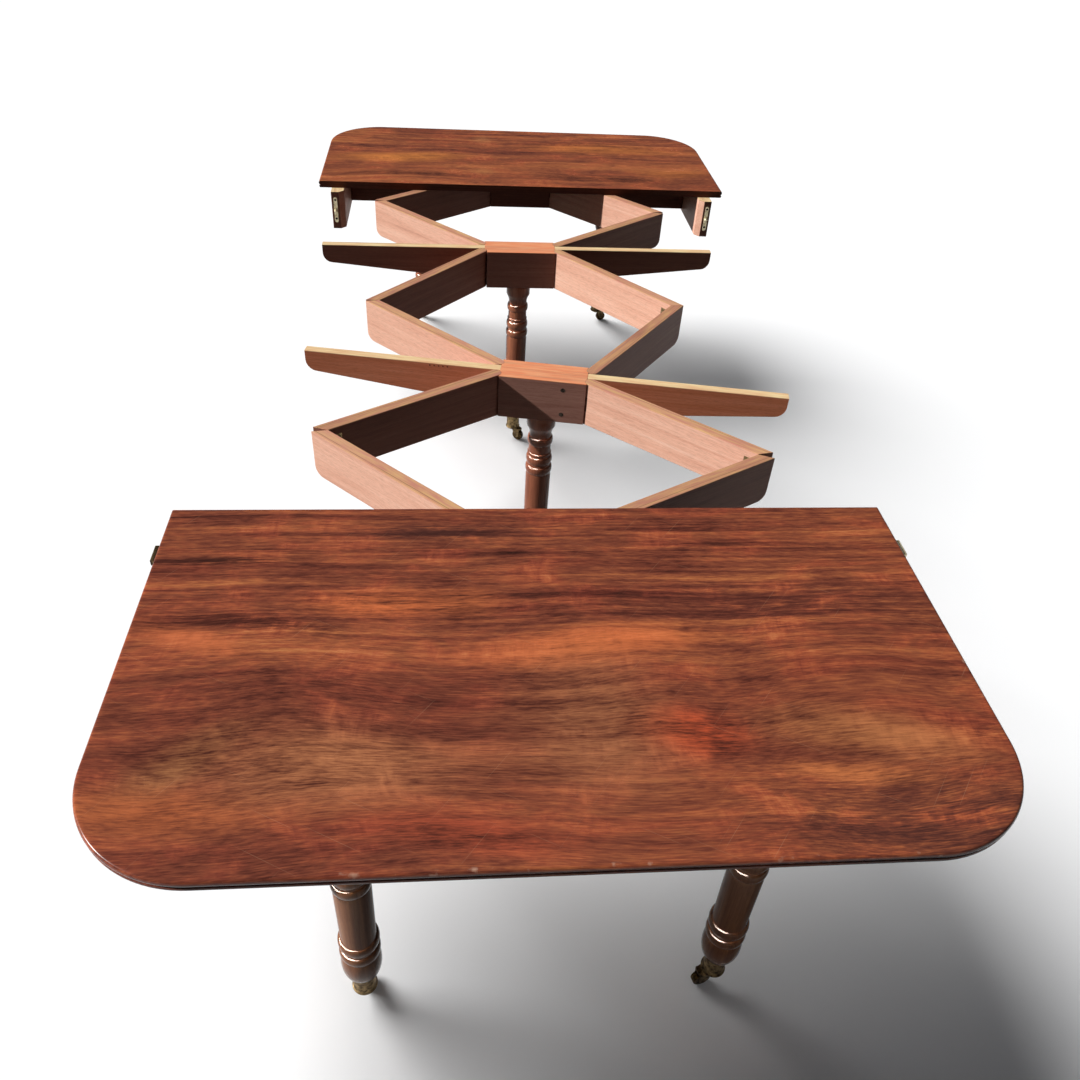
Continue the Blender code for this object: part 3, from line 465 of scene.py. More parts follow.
aged_brass = old_metal("aged_brass", "#97805a", "#46382a", patch_mm=11, low=0.38, high=0.62, roughness=0.38)
# pale cream and part metallic: partly rubbed brass, partly a painted highlight of sunlit brass
pale_brass_painted_highlight = old_metal("rubbed_brass_painted_highlight", "#efe2bd", "#b7a06a", patch_mm=9, low=0.48, high=0.74,
                         roughness=0.42, metallic=0.55)
dark_brass = old_metal("tarnished_brass", "#6b5330", "#1f1610", patch_mm=8, low=0.34, high=0.60,
                       roughness=0.38)
black_iron = old_metal("blackened_iron", "#4a4038", "#17110e", patch_mm=6, low=0.36, high=0.62,
                       roughness=0.45)
print("metals:", aged_brass.name, pale_brass_painted_highlight.name, dark_brass.name, black_iron.name)

# %% [markdown]
# ## The polished tops' finish
# The tops are figured mahogany under French polish: deep, glossy and scratched. Nearest the joint the
# figure runs in straight ribbons; towards the rounded end it opens into broad curves. So the place is
# bent by a broad noise, more where the curves are, and only then stretched into ribbons and growth
# lines. Fine dark flecks cover everything. A ramp of redder colours comes in by patches.
# Glows and dark places are put where the boards show them: ellipses along the grain,
# which take their light and shade from the wood under them and so have no outline.

# %% A helper for the polished tops
BEND_MM = 520
BAND_MM = (1100, 95, 95)
TOP_RIBBON_MM = (420, 13, 13)
GROWTH_MM = (700, 8, 8)
FLECK_MM = (24, 2.2, 2.2)
MOTTLE_MM = (130, 60, 60)
CURL_MM = (15, 60, 60)
SCRATCH_MM = (170, 1.3, 1.3)
CHIP_MM = 26
BEND_REACH = (0.26, 0.16, 0.0)
BAND_SHARE, GROWTH_SHARE, FLECK_SHARE, MOTTLE_SHARE = 0.44, 0.22, 0.50, 0.52
SCRATCH_TURNS = (0.5, -0.9)
SCRATCH_PALE = "#c59a78"
CHIP_PALE = "#b9917a"
TOP_GLOSS = 0.25
TOP_BROWNS = stops_of((0.24, 0.37, 0.47, 0.56, 0.66, 0.82),
                      "#2f1712", "#572a20", "#753c2b", "#8d4d32", "#a9633b", "#cb8a50")
TOP_REDS = stops_of((0.24, 0.40, 0.52, 0.64, 0.82), "#301413", "#5e261d", "#83392a", "#a64d33", "#c4704a")


def polished_mahogany(name, glows, brightness):
    """Figured, polished wood with its glows and dark places, scratches and chipped arrises."""
    finish, tree, shader = new_finish(name)
    place = put(tree, "Attribute", attribute_name="grain", out="Vector")
    board = put(tree, "Attribute", attribute_name="board", out="Fac")
    depth = put(tree, "SeparateXYZ", {0: place}, out="Y")
    sway = put(tree, "TexNoise", {"Vector": place, "W": board, "Scale": 1000 / BEND_MM, "Detail": 1.0},
               noise_dimensions="4D", out="Color")
    sway = put(tree, "VectorMath", {0: sway, 1: (0.5, 0.5, 0.5)}, operation="SUBTRACT")
    sway = put(tree, "VectorMath", {0: sway, 1: BEND_REACH}, operation="MULTIPLY")
    loose = put(tree, "MapRange", {"Value": depth, "From Min": -0.05, "From Max": 0.20, "To Min": 1.0,
                                   "To Max": 0.25})
    sway = put(tree, "VectorMath", {0: sway, "Scale": loose}, operation="SCALE")
    bent = put(tree, "VectorMath", {0: place, 1: sway}, operation="ADD")
    noises = []
    for sizes, detail, twist in ((BAND_MM, 2.0, 0.3), (TOP_RIBBON_MM, 4.0, 0.2), (GROWTH_MM, 2.0, 0.3),
                                 (FLECK_MM, 3.0, 0.0), (MOTTLE_MM, 5.0, 0.6), (CURL_MM, 2.0, 0.5)):
        stretched = put(tree, "Mapping", {"Vector": bent, "Scale": per_metre(sizes)})
        dials = {"Vector": stretched, "W": board, "Scale": 1.0, "Detail": detail, "Roughness": 0.6,
                 "Distortion": twist}
        noises.append(put(tree, "TexNoise", dials, noise_dimensions="4D", out="Fac"))
    band, ribbon, growth, fleck, mottle, curl = noises
    curly = put(tree, "MapRange", {"Value": mottle, "From Min": 0.52, "From Max": 0.66, "To Max": 0.35})
    lively = put(tree, "MapRange", {"Value": depth, "From Min": -0.10, "From Max": 0.14, "To Min": 0.20,
                                    "To Max": 0.68})
    tone = brightness
    for share, noise in ((BAND_SHARE, band), (lively, ribbon), (GROWTH_SHARE, growth), (FLECK_SHARE, fleck),
                         (MOTTLE_SHARE, mottle), (curly, curl)):
        swing = put(tree, "Math", {0: noise, 1: 0.5}, operation="SUBTRACT")
        tone = put(tree, "Math", {0: swing, 1: share, 2: tone}, operation="MULTIPLY_ADD")
    browns, reds = [put(tree, "ValToRGB", {0: tone}, stops=stops) for stops in (TOP_BROWNS, TOP_REDS)]
    redness = put(tree, "MapRange", {"Value": mottle, "From Min": 0.46, "From Max": 0.62, "To Max": 0.6})
    colour = put(tree, "Mix", {0: redness, 6: browns, 7: reds}, **BLEND)
    light = put(tree, "MapRange", {"Value": tone, "From Min": 0.32, "From Max": 0.56})
    dark = put(tree, "MapRange", {"Value": tone, "From Min": 0.66, "From Max": 0.44})
    relief = put(tree, "MapRange", {"Value": tone, "From Min": 0.34, "From Max": 0.70, "To Min": 0.55,
                                    "To Max": 1.35})
    for centre, extent, slope, tint, strength in glows:
        local = put(tree, "Mapping", {"Vector": bent, "Location": (*centre, 0), "Rotation": (0, 0, slope),
                                      "Scale": (*extent, 1)}, vector_type="TEXTURE")
        local = put(tree, "VectorMath", {0: local, 1: (1, 1, 0)}, operation="MULTIPLY")
        away = put(tree, "VectorMath", {0: local}, operation="LENGTH", out="Value")
        near = put(tree, "MapRange", {"Value": away, "From Min": 1.2, "From Max": 0.1,
                                      "To Max": abs(strength)}, interpolation_type="SMOOTHSTEP")
        taken = light if strength > 0 else dark
        share = put(tree, "Math", {0: near, 1: taken}, operation="MULTIPLY")
        tinted = put(tree, "VectorMath", {0: linear(tint)[:3], "Scale": relief}, operation="SCALE")
        colour = put(tree, "Mix", {0: share, 6: colour, 7: tinted}, **BLEND)
    marks = 0.0
    for turn in SCRATCH_TURNS:
        turned = put(tree, "Mapping", {"Vector": place, "Rotation": (0, 0, turn)})
        stretched = put(tree, "Mapping", {"Vector": turned, "Scale": per_metre(SCRATCH_MM)})
        noise = put(tree, "TexNoise", {"Vector": stretched, "Scale": 1.0, "Detail": 1.0}, out="Fac")
        scratch = put(tree, "MapRange", {"Value": noise, "From Min": 0.75, "From Max": 0.83, "To Max": 0.25})
        marks = put(tree, "Math", {0: marks, 1: scratch}, operation="MAXIMUM")
    colour = put(tree, "Mix", {0: marks, 6: colour, 7: linear(SCRATCH_PALE)}, **BLEND)
    arris = put(tree, "Attribute", attribute_name="arris", out="Fac")
    chips = put(tree, "TexNoise", {"Vector": place, "Scale": 1000 / CHIP_MM, "Detail": 5.0}, out="Fac")
    chips = put(tree, "MapRange", {"Value": chips, "From Min": 0.62, "From Max": 0.72, "To Max": 0.8})
    chips = put(tree, "Math", {0: chips, 1: arris}, operation="MULTIPLY")
    colour = put(tree, "Mix", {0: chips, 6: colour, 7: linear(CHIP_PALE)}, **BLEND)
    rough = put(tree, "MapRange", {"Value": mottle, "From Min": 0.3, "From Max": 0.7,
                                   "To Min": 0.18, "To Max": 0.30})
    bump = put(tree, "Bump", {"Height": fleck, "Strength": 0.06, "Distance": 0.001})
    feed(tree, shader, {"Base Color": colour, "Roughness": rough, "Normal": bump,
                        "Specular IOR Level": TOP_GLOSS})
    return finish


print("tops: bands", BAND_MM[1], "mm, ribbons", TOP_RIBBON_MM[1], "mm, flecks", FLECK_MM[0], "mm long")

# %% [markdown]
# ## The figure of the tops
# Each row is one glow or dark place: its place from the middle of the top, x along the grain and y
# away from the near end, how far it extends, its slope, its colour, and its strength, which is below
# zero for a dark place. The far top is painted a little brighter, a painted sheen, as it lies flatter to the
# view.

# %% Place the glows
NEAR_GLOWS = [
    ((-0.27, 0.122), (0.19, 0.044), 0.0, "#bd6338", 0.9),
    ((-0.14, 0.120), (0.07, 0.050), 0.0, "#b4623a", 0.7),
    ((-0.60, 0.040), (0.16, 0.032), -0.36, "#b15e38", 0.8),
    ((0.08, 0.022), (0.25, 0.046), 0.08, "#b96238", 0.9),
    ((-0.52, -0.190), (0.14, 0.048), 0.5, "#9b6841", 0.8),
    ((-0.55, -0.265), (0.20, 0.050), -0.08, "#a85a34", 0.8),
    ((-0.29, -0.205), (0.24, 0.090), 0.0, "#ab6d47", 0.9),
    ((-0.13, -0.335), (0.18, 0.045), -0.12, "#aa4930", 0.8),
    ((0.20, -0.148), (0.12, 0.048), -0.1, "#c24e2c", 0.9),
    ((0.05, -0.130), (0.16, 0.160), 0.0, "#9a6442", 0.7),
    ((0.48, -0.170), (0.20, 0.050), -0.27, "#a2663f", 0.8),
    ((0.44, -0.230), (0.13, 0.022), -0.17, "#bd6e40", 0.9),
    ((-0.48, 0.070), (0.22, 0.024), -0.14, "#4d251d", -0.9),
    ((-0.59, 0.240), (0.15, 0.015), 0.0, "#43231c", -0.9),
    ((-0.21, 0.320), (0.22, 0.034), 0.0, "#4a2a25", -0.8),
    ((0.64, -0.176), (0.07, 0.020), 0.0, "#45201d", -0.9),
    ((0.52, -0.320), (0.36, 0.110), 0.0, "#553029", -1.0),
    ((0.45, 0.110), (0.36, 0.095), 0.0, "#5b2e26", -0.8),
]
FAR_GLOWS = [
    ((-0.44, -0.050), (0.26, 0.070), 0.1, "#c2763a", 0.9),
    ((-0.15, -0.190), (0.07, 0.036), 0.0, "#a36a40", 0.5),
    ((-0.13, 0.197), (0.05, 0.060), 0.0, "#a87246", 0.4),
    ((0.32, 0.108), (0.34, 0.080), 0.0, "#b56a36", 0.8),
    ((0.54, -0.150), (0.18, 0.050), 0.0, "#ad6533", 0.6),
    ((-0.43, -0.234), (0.28, 0.032), 0.0, "#4a2318", -0.9),
    ((0.31, -0.225), (0.38, 0.042), 0.0, "#4f2518", -0.8),
]
near_polish = polished_mahogany("french_polished_mahogany_near", NEAR_GLOWS, brightness=0.50)
# the far top's higher brightness is painted sheen
far_polish = polished_mahogany("french_polished_mahogany_far", FAR_GLOWS, brightness=0.58)
print("polished finishes:", near_polish.name, far_polish.name)

# %% [markdown]
# ## The moulded tops
# The edge of each top is worked into two rounds with a thin groove between them. The groove is what
# draws the dark line under the bright upper round. A Bevel could give one round only, so the board is
# built up in outlines: one flat rectangle for each point of the edge, its outer corners rounded, and
# each bridged to the next. The boards are made too long and then cut straight at the inner edge and
# at the seam of the near top's strip, where they are plain and bare of polish. The cut faces take the
# nearly black frame colour: painted shade on the inner edge, a dark joint at the seam.

# %% Make the tops
TOP_CORNER_RADIUS = 0.190
CORNER_STEPS = 28
ROUND_STEPS = 8
EDGE_REACH = 0.0050
LOWER_ROUND = 0.8
GROOVE_SHARE = 0.42
ARRIS_START = 0.3
SPARE_LENGTH = 0.30
FLAT_MARGIN = 0.004


def edge_points(foot, top):
    """Points of the two rounds from the foot up, each as (inset, height, on the arris)."""
    groove = foot + (top - foot) * GROOVE_SHARE
    points = [(EDGE_REACH + FLAT_MARGIN, foot, 0)]
    for low, high, swell, bare in ((foot, groove, EDGE_REACH * LOWER_ROUND, 0), (groove, top, EDGE_REACH, 1)):
        for step in range(bare, ROUND_STEPS + 1):
            angle = math.pi * (step / ROUND_STEPS - 0.5)
            height = (low + high) / 2 + (high - low) / 2 * math.sin(angle)
            points.append((EDGE_REACH - swell * math.cos(angle), height, bare if angle > ARRIS_START else 0))
    return points + [(EDGE_REACH + FLAT_MARGIN, top, 0)]


def moulded_board(left, right, inner, outer, foot, top):
    """A board with rounded outer corners and a worked edge, running on past its inner edge."""
    way = math.copysign(1, outer - inner)
    shape = bmesh.new()
    bare = shape.verts.layers.float.new("arris")
    rings = []
    for inset, height, on_arris in edge_points(foot, top):
        known = set(shape.faces)
        wide = (right - left) / 2 - inset
        deep = (abs(outer - inner) + SPARE_LENGTH - inset) / 2
        middle = Vector(((left + right) / 2, outer - way * (inset + deep), height))
        sized = Matrix.Translation(middle) @ Matrix.Diagonal((wide, deep, 1, 1))
        made = bmesh.ops.create_grid(shape, x_segments=1, y_segments=1, size=1.0, matrix=sized)["verts"]
        corners = [vert for vert in made if way * (vert.co.y - middle.y) > 0]
        bmesh.ops.bevel(shape, geom=corners, offset=TOP_CORNER_RADIUS - inset, offset_type="OFFSET",
                        affect="VERTICES", segments=CORNER_STEPS, profile=0.5, material=-1,
                        clamp_overlap=False)
        face = next(face for face in shape.faces if face not in known)
        for vert in face.verts:
            vert[bare] = on_arris
        rings.append(face)
    loops = [list(face.edges) for face in rings]
    bmesh.ops.delete(shape, geom=rings[1:-1], context="FACES_ONLY")
    for lower, upper in zip(loops, loops[1:]):
        bmesh.ops.bridge_loops(shape, edges=lower + upper)
    bmesh.ops.recalc_face_normals(shape, faces=shape.faces)
    return shape


def saw(shape, line, keep):
    """Cut a board square at y = line, keep the side that `keep` points to, and close the end."""
    everything = list(shape.verts) + list(shape.edges) + list(shape.faces)
    cut = bmesh.ops.bisect_plane(shape, geom=everything, dist=1e-7, plane_co=(0, line, 0),
                                 plane_no=(0, -keep, 0), clear_outer=True)["geom_cut"]
    edges = [item for item in cut if isinstance(item, bmesh.types.BMEdge)]
    # the cut end takes material 1, the nearly black frame colour: painted shade on the inner edge
    for face in bmesh.ops.contextual_create(shape, geom=edges)["faces"]:
        face.material_index = 1
    bare = shape.verts.layers.float["arris"]
    for vert in {vert for edge in edges for vert in edge.verts}:
        vert[bare] = 0
    bmesh.ops.recalc_face_normals(shape, faces=shape.faces)


def level_box(nodes):
    """The box round several nodes."""
    lows, highs = zip(*(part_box(node) for node in nodes))
    return [min(low[k] for low in lows) for k in range(3)], [max(high[k] for high in highs) for k in range(3)]


no_turn = Matrix.Identity(3)
for nodes, outer_is_low, polish in ((("near_top", "near_top_strip"), True, near_polish),
                                    (("far_top",), False, far_polish)):
    low, high = level_box(nodes)
    inner, outer = (high[1], low[1]) if outer_is_low else (low[1], high[1])
    centre = Vector([(a + b) / 2 for a, b in zip(low, high)])
    for node in nodes:
        node_low, node_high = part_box(node)
        shape = moulded_board(low[0], high[0], inner, outer, low[2], high[2])
        for line, keep in ((node_low.y, 1), (node_high.y, -1)):
            if abs(line - outer) > 1e-6:
                saw(shape, line, keep)
        mark_grain(shape, centre, no_turn)
        print(node, "moulded:", len(shape.faces), "faces")
        set_out(node + "_moulded", shape, [polish, frame_painted_shade], [node])

# %% [markdown]
# ## Rails, blocks, arms and frames
# These are sawn and planed boards whose edges were broken by hand, so they catch a thin line of light.
# The frame's nodes already have the right outline. A copy of each is merged, its triangles joined
# into flat faces, and only the long square edges are bevelled, which leaves knuckles and bores as they are.
# Smooth shading stops at a small angle here, or the bevels would tilt the light on the flat faces.

# %% Ease an edge
EASING = 0.0014
SHORTEST_EASED = 0.030
SAME_PLACE = 2e-6
FLAT_DEGREES = 0.5
SQUARE_FROM, SQUARE_TO = 60, 120


def ease(shape, edges, width, steps):
    """Bevel some edges of a shape."""
    bmesh.ops.bevel(shape, geom=edges, offset=width, offset_type="OFFSET", affect="EDGES", segments=steps,
                    profile=0.5, material=-1, clamp_overlap=True)


def eased_copy(node, easing=EASING, shortest=SHORTEST_EASED):
    """A merged copy of a node's mesh, its long square edges bevelled."""
    shape = bmesh.new()
    shape.from_mesh(frame["nodes"][node].data)
    bmesh.ops.remove_doubles(shape, verts=shape.verts, dist=SAME_PLACE)
    bmesh.ops.dissolve_limit(shape, angle_limit=math.radians(FLAT_DEGREES), verts=shape.verts,
                             edges=shape.edges)
    square = [edge for edge in shape.edges
              if edge.is_manifold and edge.is_convex and edge.calc_length() > shortest
              and SQUARE_FROM < math.degrees(edge.calc_face_angle()) < SQUARE_TO]
    ease(shape, square, easing, 2)
    return shape


print("square edges over", SHORTEST_EASED * 1000, "mm are eased by", EASING * 1000, "mm")

# %% [markdown]
# ## Which board has which finish
# The record's slot says what kind of board a node is. Some boards have a finish of their own: the near
# arms a redder wax, and the far arms, the aprons and the rails that stand in deep shade a darker copy of
# their wax, which is painted shade. A board can have more than one finish, so each face gets the number
# of its material: 1 where a hinge's barrel is part of the rail, which lies close round the joint's
# axis, and 2 on an apron's inner face, which the sun reaches, so it keeps the pale rail wax beside the
# painted shade.

# %% Make the boards
BARREL_REACH = 0.0062
FACING_SHARE = 0.5
BOARD_SHARP = 20

# the dark frame slot takes the nearly black frame colour, which is painted shade
waxed = {"waxed_rail": wax["rail"], "waxed_block": wax["block"], "dark_frame": frame_painted_shade}
own_wax_and_painted_shade = {"near_arm_left": wax["arm"], "near_arm_right": wax["arm"]}
# boards turned from the sun take the darker wax copies, which are painted shade
for node in body_of:
    if node.startswith("far_arm_") or "_apron_" in node:
        own_wax_and_painted_shade[node] = wax["arm_painted_shade"]
    if node.endswith(("_left_rail_back", "_right_rail_front")):
        own_wax_and_painted_shade[node] = wax["rail_painted_shade"]
corners = {}
for name, joint in joint_of.items():
    if name.endswith("_corner"):
        corners[joint["parent"]] = Vector(joint["pos_m"])
        corners[joint["child"]] = Vector(joint["pos_m"])
lies = {}
for node in sorted(body_of):
    if slot_of[node] not in waxed:
        continue
    shape = eased_copy(node)
    centre, turn = lies[node] = lie_of(shape)
    mark_grain(shape, centre, turn)
    finish = own_wax_and_painted_shade.get(node) or waxed[slot_of[node]]
    for face in shape.faces:
        middle = face.calc_center_median()
        in_barrel = node in corners and (middle - corners[node]).to_2d().length < BARREL_REACH
        # an apron's inner face keeps the pale rail wax where the sun reaches it; its other faces have the
        # painted shade
        inside = "_apron_" in node and face.normal.x * centre.x < -FACING_SHARE * abs(centre.x)
        face.material_index = 1 if in_barrel else 2 if inside else 0
    set_out(node + "_eased", shape, [finish, aged_brass, wax["rail"]], [node], sharp=BOARD_SHARP)
print("boards eased:", len(lies))

# %% [markdown]
# ## Turned legs
# A leg is turned on a lathe: one outline swept round its axis. In Blender that is the spin operator on a
# chain of edges. The outline goes down from the neck through three rings, a tapering shaft, a collar,
# a ring and a bulb into the brass cup. Rings are half ellipses, worked out by one function.

# %% Turn the legs
LEG_STEPS = 56
LEG_SHARP = 50
JOINT_GAP = 0.0003
leg_low, leg_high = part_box("near_block_leg")
cup_low, cup_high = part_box("near_block_castor_cup")
LEG_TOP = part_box("near_block")[0].z - JOINT_GAP
CUP_TOP = cup_high.z + JOINT_GAP
NECK, THROAT, SHAFT, BULB, FOOT, SPIGOT = 0.037, 0.0287, 0.033, 0.0373, 0.0195, 0.015
NECK_LENGTH, COVE_LENGTH, COVE_STEPS = 0.034, 0.026, 6
NECK_EASE, RING_GROWTH = (0.0015, 0.002), 0.001
RING_HALF, RING_BULGE = 0.012, 0.0045
RING_DROPS = (0.079, 0.138, 0.168)
BEAD_DROP, BEAD_HALF, BEAD_BULGE = 0.119, 0.004, 0.0022
SHAFT_DROP, SHAFT_RISE, TAPER = 0.188, 0.140, 0.97
COLLAR_RISES = (0.124, 0.091)
BULB_HALF, BULB_STEPS, BULB_FROM, BULB_SWEEP = 0.048, 12, 30, 105


def ring_points(centre, half, base, bulge, steps=9):
    """Half an ellipse that stands out from a radius, from its upper end to its lower one."""
    angles = [math.pi * step / steps for step in range(steps + 1)]
    return [(base + bulge * math.sin(a), centre + half * math.cos(a)) for a in angles]


def leg_outline():
    """The leg's outline as (radius, height), from the spigot down into the cup."""
    points = [(0, leg_high.z), (SPIGOT, leg_high.z), (SPIGOT, LEG_TOP), (NECK - NECK_EASE[0], LEG_TOP),
              (NECK, LEG_TOP - NECK_EASE[1]), (NECK, LEG_TOP - NECK_LENGTH)]
    for step in range(1, COVE_STEPS + 1):
        share = step / COVE_STEPS
        points.append((NECK + (THROAT - NECK) * math.sin(share * math.pi / 2),
                       LEG_TOP - NECK_LENGTH - COVE_LENGTH * share))
    for index, drop in enumerate(RING_DROPS):
        points += ring_points(LEG_TOP - drop, RING_HALF, THROAT + index * RING_GROWTH, RING_BULGE)
        if index == 0:
            points += ring_points(LEG_TOP - BEAD_DROP, BEAD_HALF, THROAT + RING_GROWTH / 2, BEAD_BULGE, 5)
    points += [(SHAFT, LEG_TOP - SHAFT_DROP), (SHAFT * TAPER, CUP_TOP + SHAFT_RISE)]
    for rise in COLLAR_RISES:
        points += ring_points(CUP_TOP + rise, RING_HALF, SHAFT, RING_BULGE)
    for step in range(BULB_STEPS + 1):
        angle = math.radians(BULB_FROM - BULB_SWEEP * step / BULB_STEPS)
        points.append((FOOT + (BULB - FOOT) * math.cos(angle), CUP_TOP + BULB_HALF * (1 + math.sin(angle))))
    return points + [(FOOT, CUP_TOP), (FOOT, leg_low.z), (0, leg_low.z)]


def axis_of(node):
    """The foot of a turned node's upright axis, on the ground."""
    low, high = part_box(node)
    return Vector(((low.x + high.x) / 2, (low.y + high.y) / 2, 0))


def seat_at(place, facing_way):
    """The move that brings the origin to a place and the z axis to a direction."""
    return Matrix.Translation(place) @ Vector(facing_way).to_track_quat("Z", "Y").to_matrix().to_4x4()


def turn_on_axis(points, seat, closed, steps=LEG_STEPS):
    """Sweep an outline of (radius, height) round the z axis, then seat it."""
    shape = bmesh.new()
    verts = [shape.verts.new((radius, 0, height)) for radius, height in points]
    ends = zip(verts, verts[1:] + verts[:1]) if closed else zip(verts, verts[1:])
    edges = [shape.edges.new(pair) for pair in ends]
    bmesh.ops.spin(shape, geom=verts + edges, cent=(0, 0, 0), axis=(0, 0, 1), angle=2 * math.pi,
                   steps=steps, use_merge=True)
    bmesh.ops.remove_doubles(shape, verts=shape.verts, dist=1e-6)
    bmesh.ops.recalc_face_normals(shape, faces=shape.faces)
    bmesh.ops.transform(shape, matrix=seat, verts=shape.verts)
    return shape


FEET = ("near_left", "near_right", "near_block", "far_block", "far_left", "far_right")
upright = Matrix.Rotation(math.pi / 2, 3, "Y")
for foot in FEET:
    axis = axis_of(foot + "_leg")
    shape = turn_on_axis(leg_outline(), Matrix.Translation(axis), False)
    mark_grain(shape, axis, upright)
    polish = near_leg_polish if foot in ("near_left", "near_right") else leg_polish
    leg = set_out(foot + "_leg_turned", shape, [polish], [foot + "_leg"], sharp=LEG_SHARP)
    lit["legs"].objects.link(leg)
print("legs turned:", len(FEET))

# %% [markdown]
# ## Castors
# Each foot stands in a brass cup with a band at its mouth and a rim at its foot. Under it a forked horn
# swivels, with a roller between its cheeks. Cup and roller are turned as the legs are; the
# horn is a casting, so the frame's horn is copied and its edges are rounded.

# %% Make cups, horns and rollers
CUP_RADIUS, CUP_INSIDE, CUP_RIM, CUP_BORE = 0.022, 0.0198, 0.024, 0.0065
ROLLER_RADIUS, ROLLER_HALF, ROLLER_BORE, ROLLER_EASE = 0.0186, 0.0075, 0.0035, 0.0025
ROLLER_STEPS, ROLLER_EDGE_STEPS = 40, 5
CUP_LIP, CUP_BAND, CUP_STEP, CUP_FLOOR = 0.0006, 0.005, 0.0008, 0.008
RIM_ROUND, RIM_TOP, RIM_SHOULDER, RIM_STEPS = 0.003, 0.0062, 0.0075, 8
HORN_EASING, HORN_SHORTEST = 0.0008, 0.004
mouth, base = cup_high.z, cup_low.z
cup_points = [(CUP_INSIDE, mouth), (CUP_RADIUS - CUP_LIP, mouth), (CUP_RADIUS, mouth - CUP_LIP),
              (CUP_RADIUS, mouth - CUP_BAND), (CUP_RADIUS - CUP_STEP, mouth - CUP_BAND - CUP_STEP),
              (CUP_RADIUS - CUP_STEP, base + RIM_SHOULDER), (CUP_RADIUS, base + RIM_TOP)]
for step in range(RIM_STEPS + 1):
    angle = math.pi * step / RIM_STEPS
    swell = RIM_ROUND * math.sin(angle)
    cup_points.append((CUP_RIM - RIM_ROUND + swell, base + RIM_ROUND * (1 + math.cos(angle))))
cup_points += [(CUP_BORE, base), (CUP_BORE, base + CUP_FLOOR), (CUP_INSIDE, base + CUP_FLOOR)]
roller_points = [(ROLLER_BORE, ROLLER_HALF)]
for middle, start in ((ROLLER_HALF - ROLLER_EASE, 90), (ROLLER_EASE - ROLLER_HALF, 0)):
    for step in range(ROLLER_EDGE_STEPS + 1):
        angle = math.radians(start - 90 * step / ROLLER_EDGE_STEPS)
        roller_points.append((ROLLER_RADIUS - ROLLER_EASE + ROLLER_EASE * math.cos(angle),
                              middle + ROLLER_EASE * math.sin(angle)))
roller_points.append((ROLLER_BORE, -ROLLER_HALF))
for foot in FEET:
    cup = turn_on_axis(cup_points, Matrix.Translation(axis_of(foot + "_castor_cup")), True)
    set_out(foot + "_cup_turned", cup, [aged_brass], [foot + "_castor_cup"])
    horn = eased_copy(foot + "_castor_fork", HORN_EASING, HORN_SHORTEST)
    set_out(foot + "_horn", horn, [aged_brass], [foot + "_castor_fork"])
    roll = joint_of[foot + "_castor_roll"]
    roller = turn_on_axis(roller_points, seat_at(roll["pos_m"], roll["axis"]), True, ROLLER_STEPS)
    set_out(foot + "_roller", roller, [dark_brass], [foot + "_castor_wheel"])
print("castors:", len(FEET), "cups, horns and rollers")

# %% [markdown]
# ## Clips and pegs
# Two brass clips hold the strip of the near top to its main board, and a peg in the end of each far apron
# finds a socket when the table is shut. They are small castings: a rounded copy of the
# clip's node, and a peg turned again with a fuller nose. The left clip is dull brass; the right one and the
# pegs are pale cream, partly rubbed metal and partly a painted highlight.

# %% Make clips and pegs
CLIP_EASING, CLIP_SHORTEST = 0.0010, 0.003
PEG_STEPS, NOSE_STEPS = 32, 8

for side in ("left", "right"):
    clip = eased_copy("strip_clip_" + side, CLIP_EASING, CLIP_SHORTEST)
    # the right clip gets the pale brass: partly rubbed, partly a painted highlight
    brass = aged_brass if side == "left" else pale_brass_painted_highlight
    set_out("strip_clip_" + side + "_rounded", clip, [brass], ["strip_clip_" + side])
    node = "far_peg_" + side
    low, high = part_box(node)
    length = high.y - low.y
    radius = (high.x - low.x) / 2
    turns = [math.pi / 2 * step / NOSE_STEPS for step in range(NOSE_STEPS + 1)]
    nose = [(radius * math.sin(turn), radius * math.cos(turn) - radius) for turn in turns]
    tip = Vector(((low.x + high.x) / 2, low.y, (low.z + high.z) / 2))
    seat = Matrix.Translation(tip) @ Matrix.Rotation(math.pi / 2, 4, "X")
    peg = turn_on_axis(nose + [(radius, -length), (0, -length)], seat, False, PEG_STEPS)
    # the peg is the pale brass: partly rubbed, partly a painted highlight
    set_out(node + "_turned", peg, [pale_brass_painted_highlight], [node])
print("clips and pegs: 4")

# %% [markdown]
# ## Hinges and screws
# The corners of the concertina turn on brass butt hinges, let into the inner faces of the rails. Their
# plates are held by slotted screws. A screw head is a low cone, cut twice across, with the strip between
# the cuts sunk. It is made once, and each plate takes copies of it into its own mesh.

# %% Make one slotted screw
SCREW_RADIUS = 0.0042
SCREW_RISE = 0.0007
SLOT_SHARE = 0.17
HEAD_TAPER = 0.86
SLOT_DEPTH = 0.8

screw = bmesh.new()
bmesh.ops.create_cone(screw, cap_ends=True, segments=18, radius1=SCREW_RADIUS,
                      radius2=SCREW_RADIUS * HEAD_TAPER, depth=SCREW_RISE)
for side in (-1, 1):
    everything = list(screw.verts) + list(screw.edges) + list(screw.faces)
    bmesh.ops.bisect_plane(screw, geom=everything, dist=1e-7,
                           plane_co=(side * SCREW_RADIUS * SLOT_SHARE, 0, 0), plane_no=(1, 0, 0))
strip = [face for face in screw.faces
         if face.normal.z > 0.9 and abs(face.calc_center_median().x) < SCREW_RADIUS * SLOT_SHARE]
sunk = bmesh.ops.extrude_face_region(screw, geom=strip)["geom"]
sunk = [item for item in sunk if isinstance(item, bmesh.types.BMVert)]
bmesh.ops.translate(screw, verts=sunk, vec=(0, 0, -SCREW_RISE * SLOT_DEPTH))
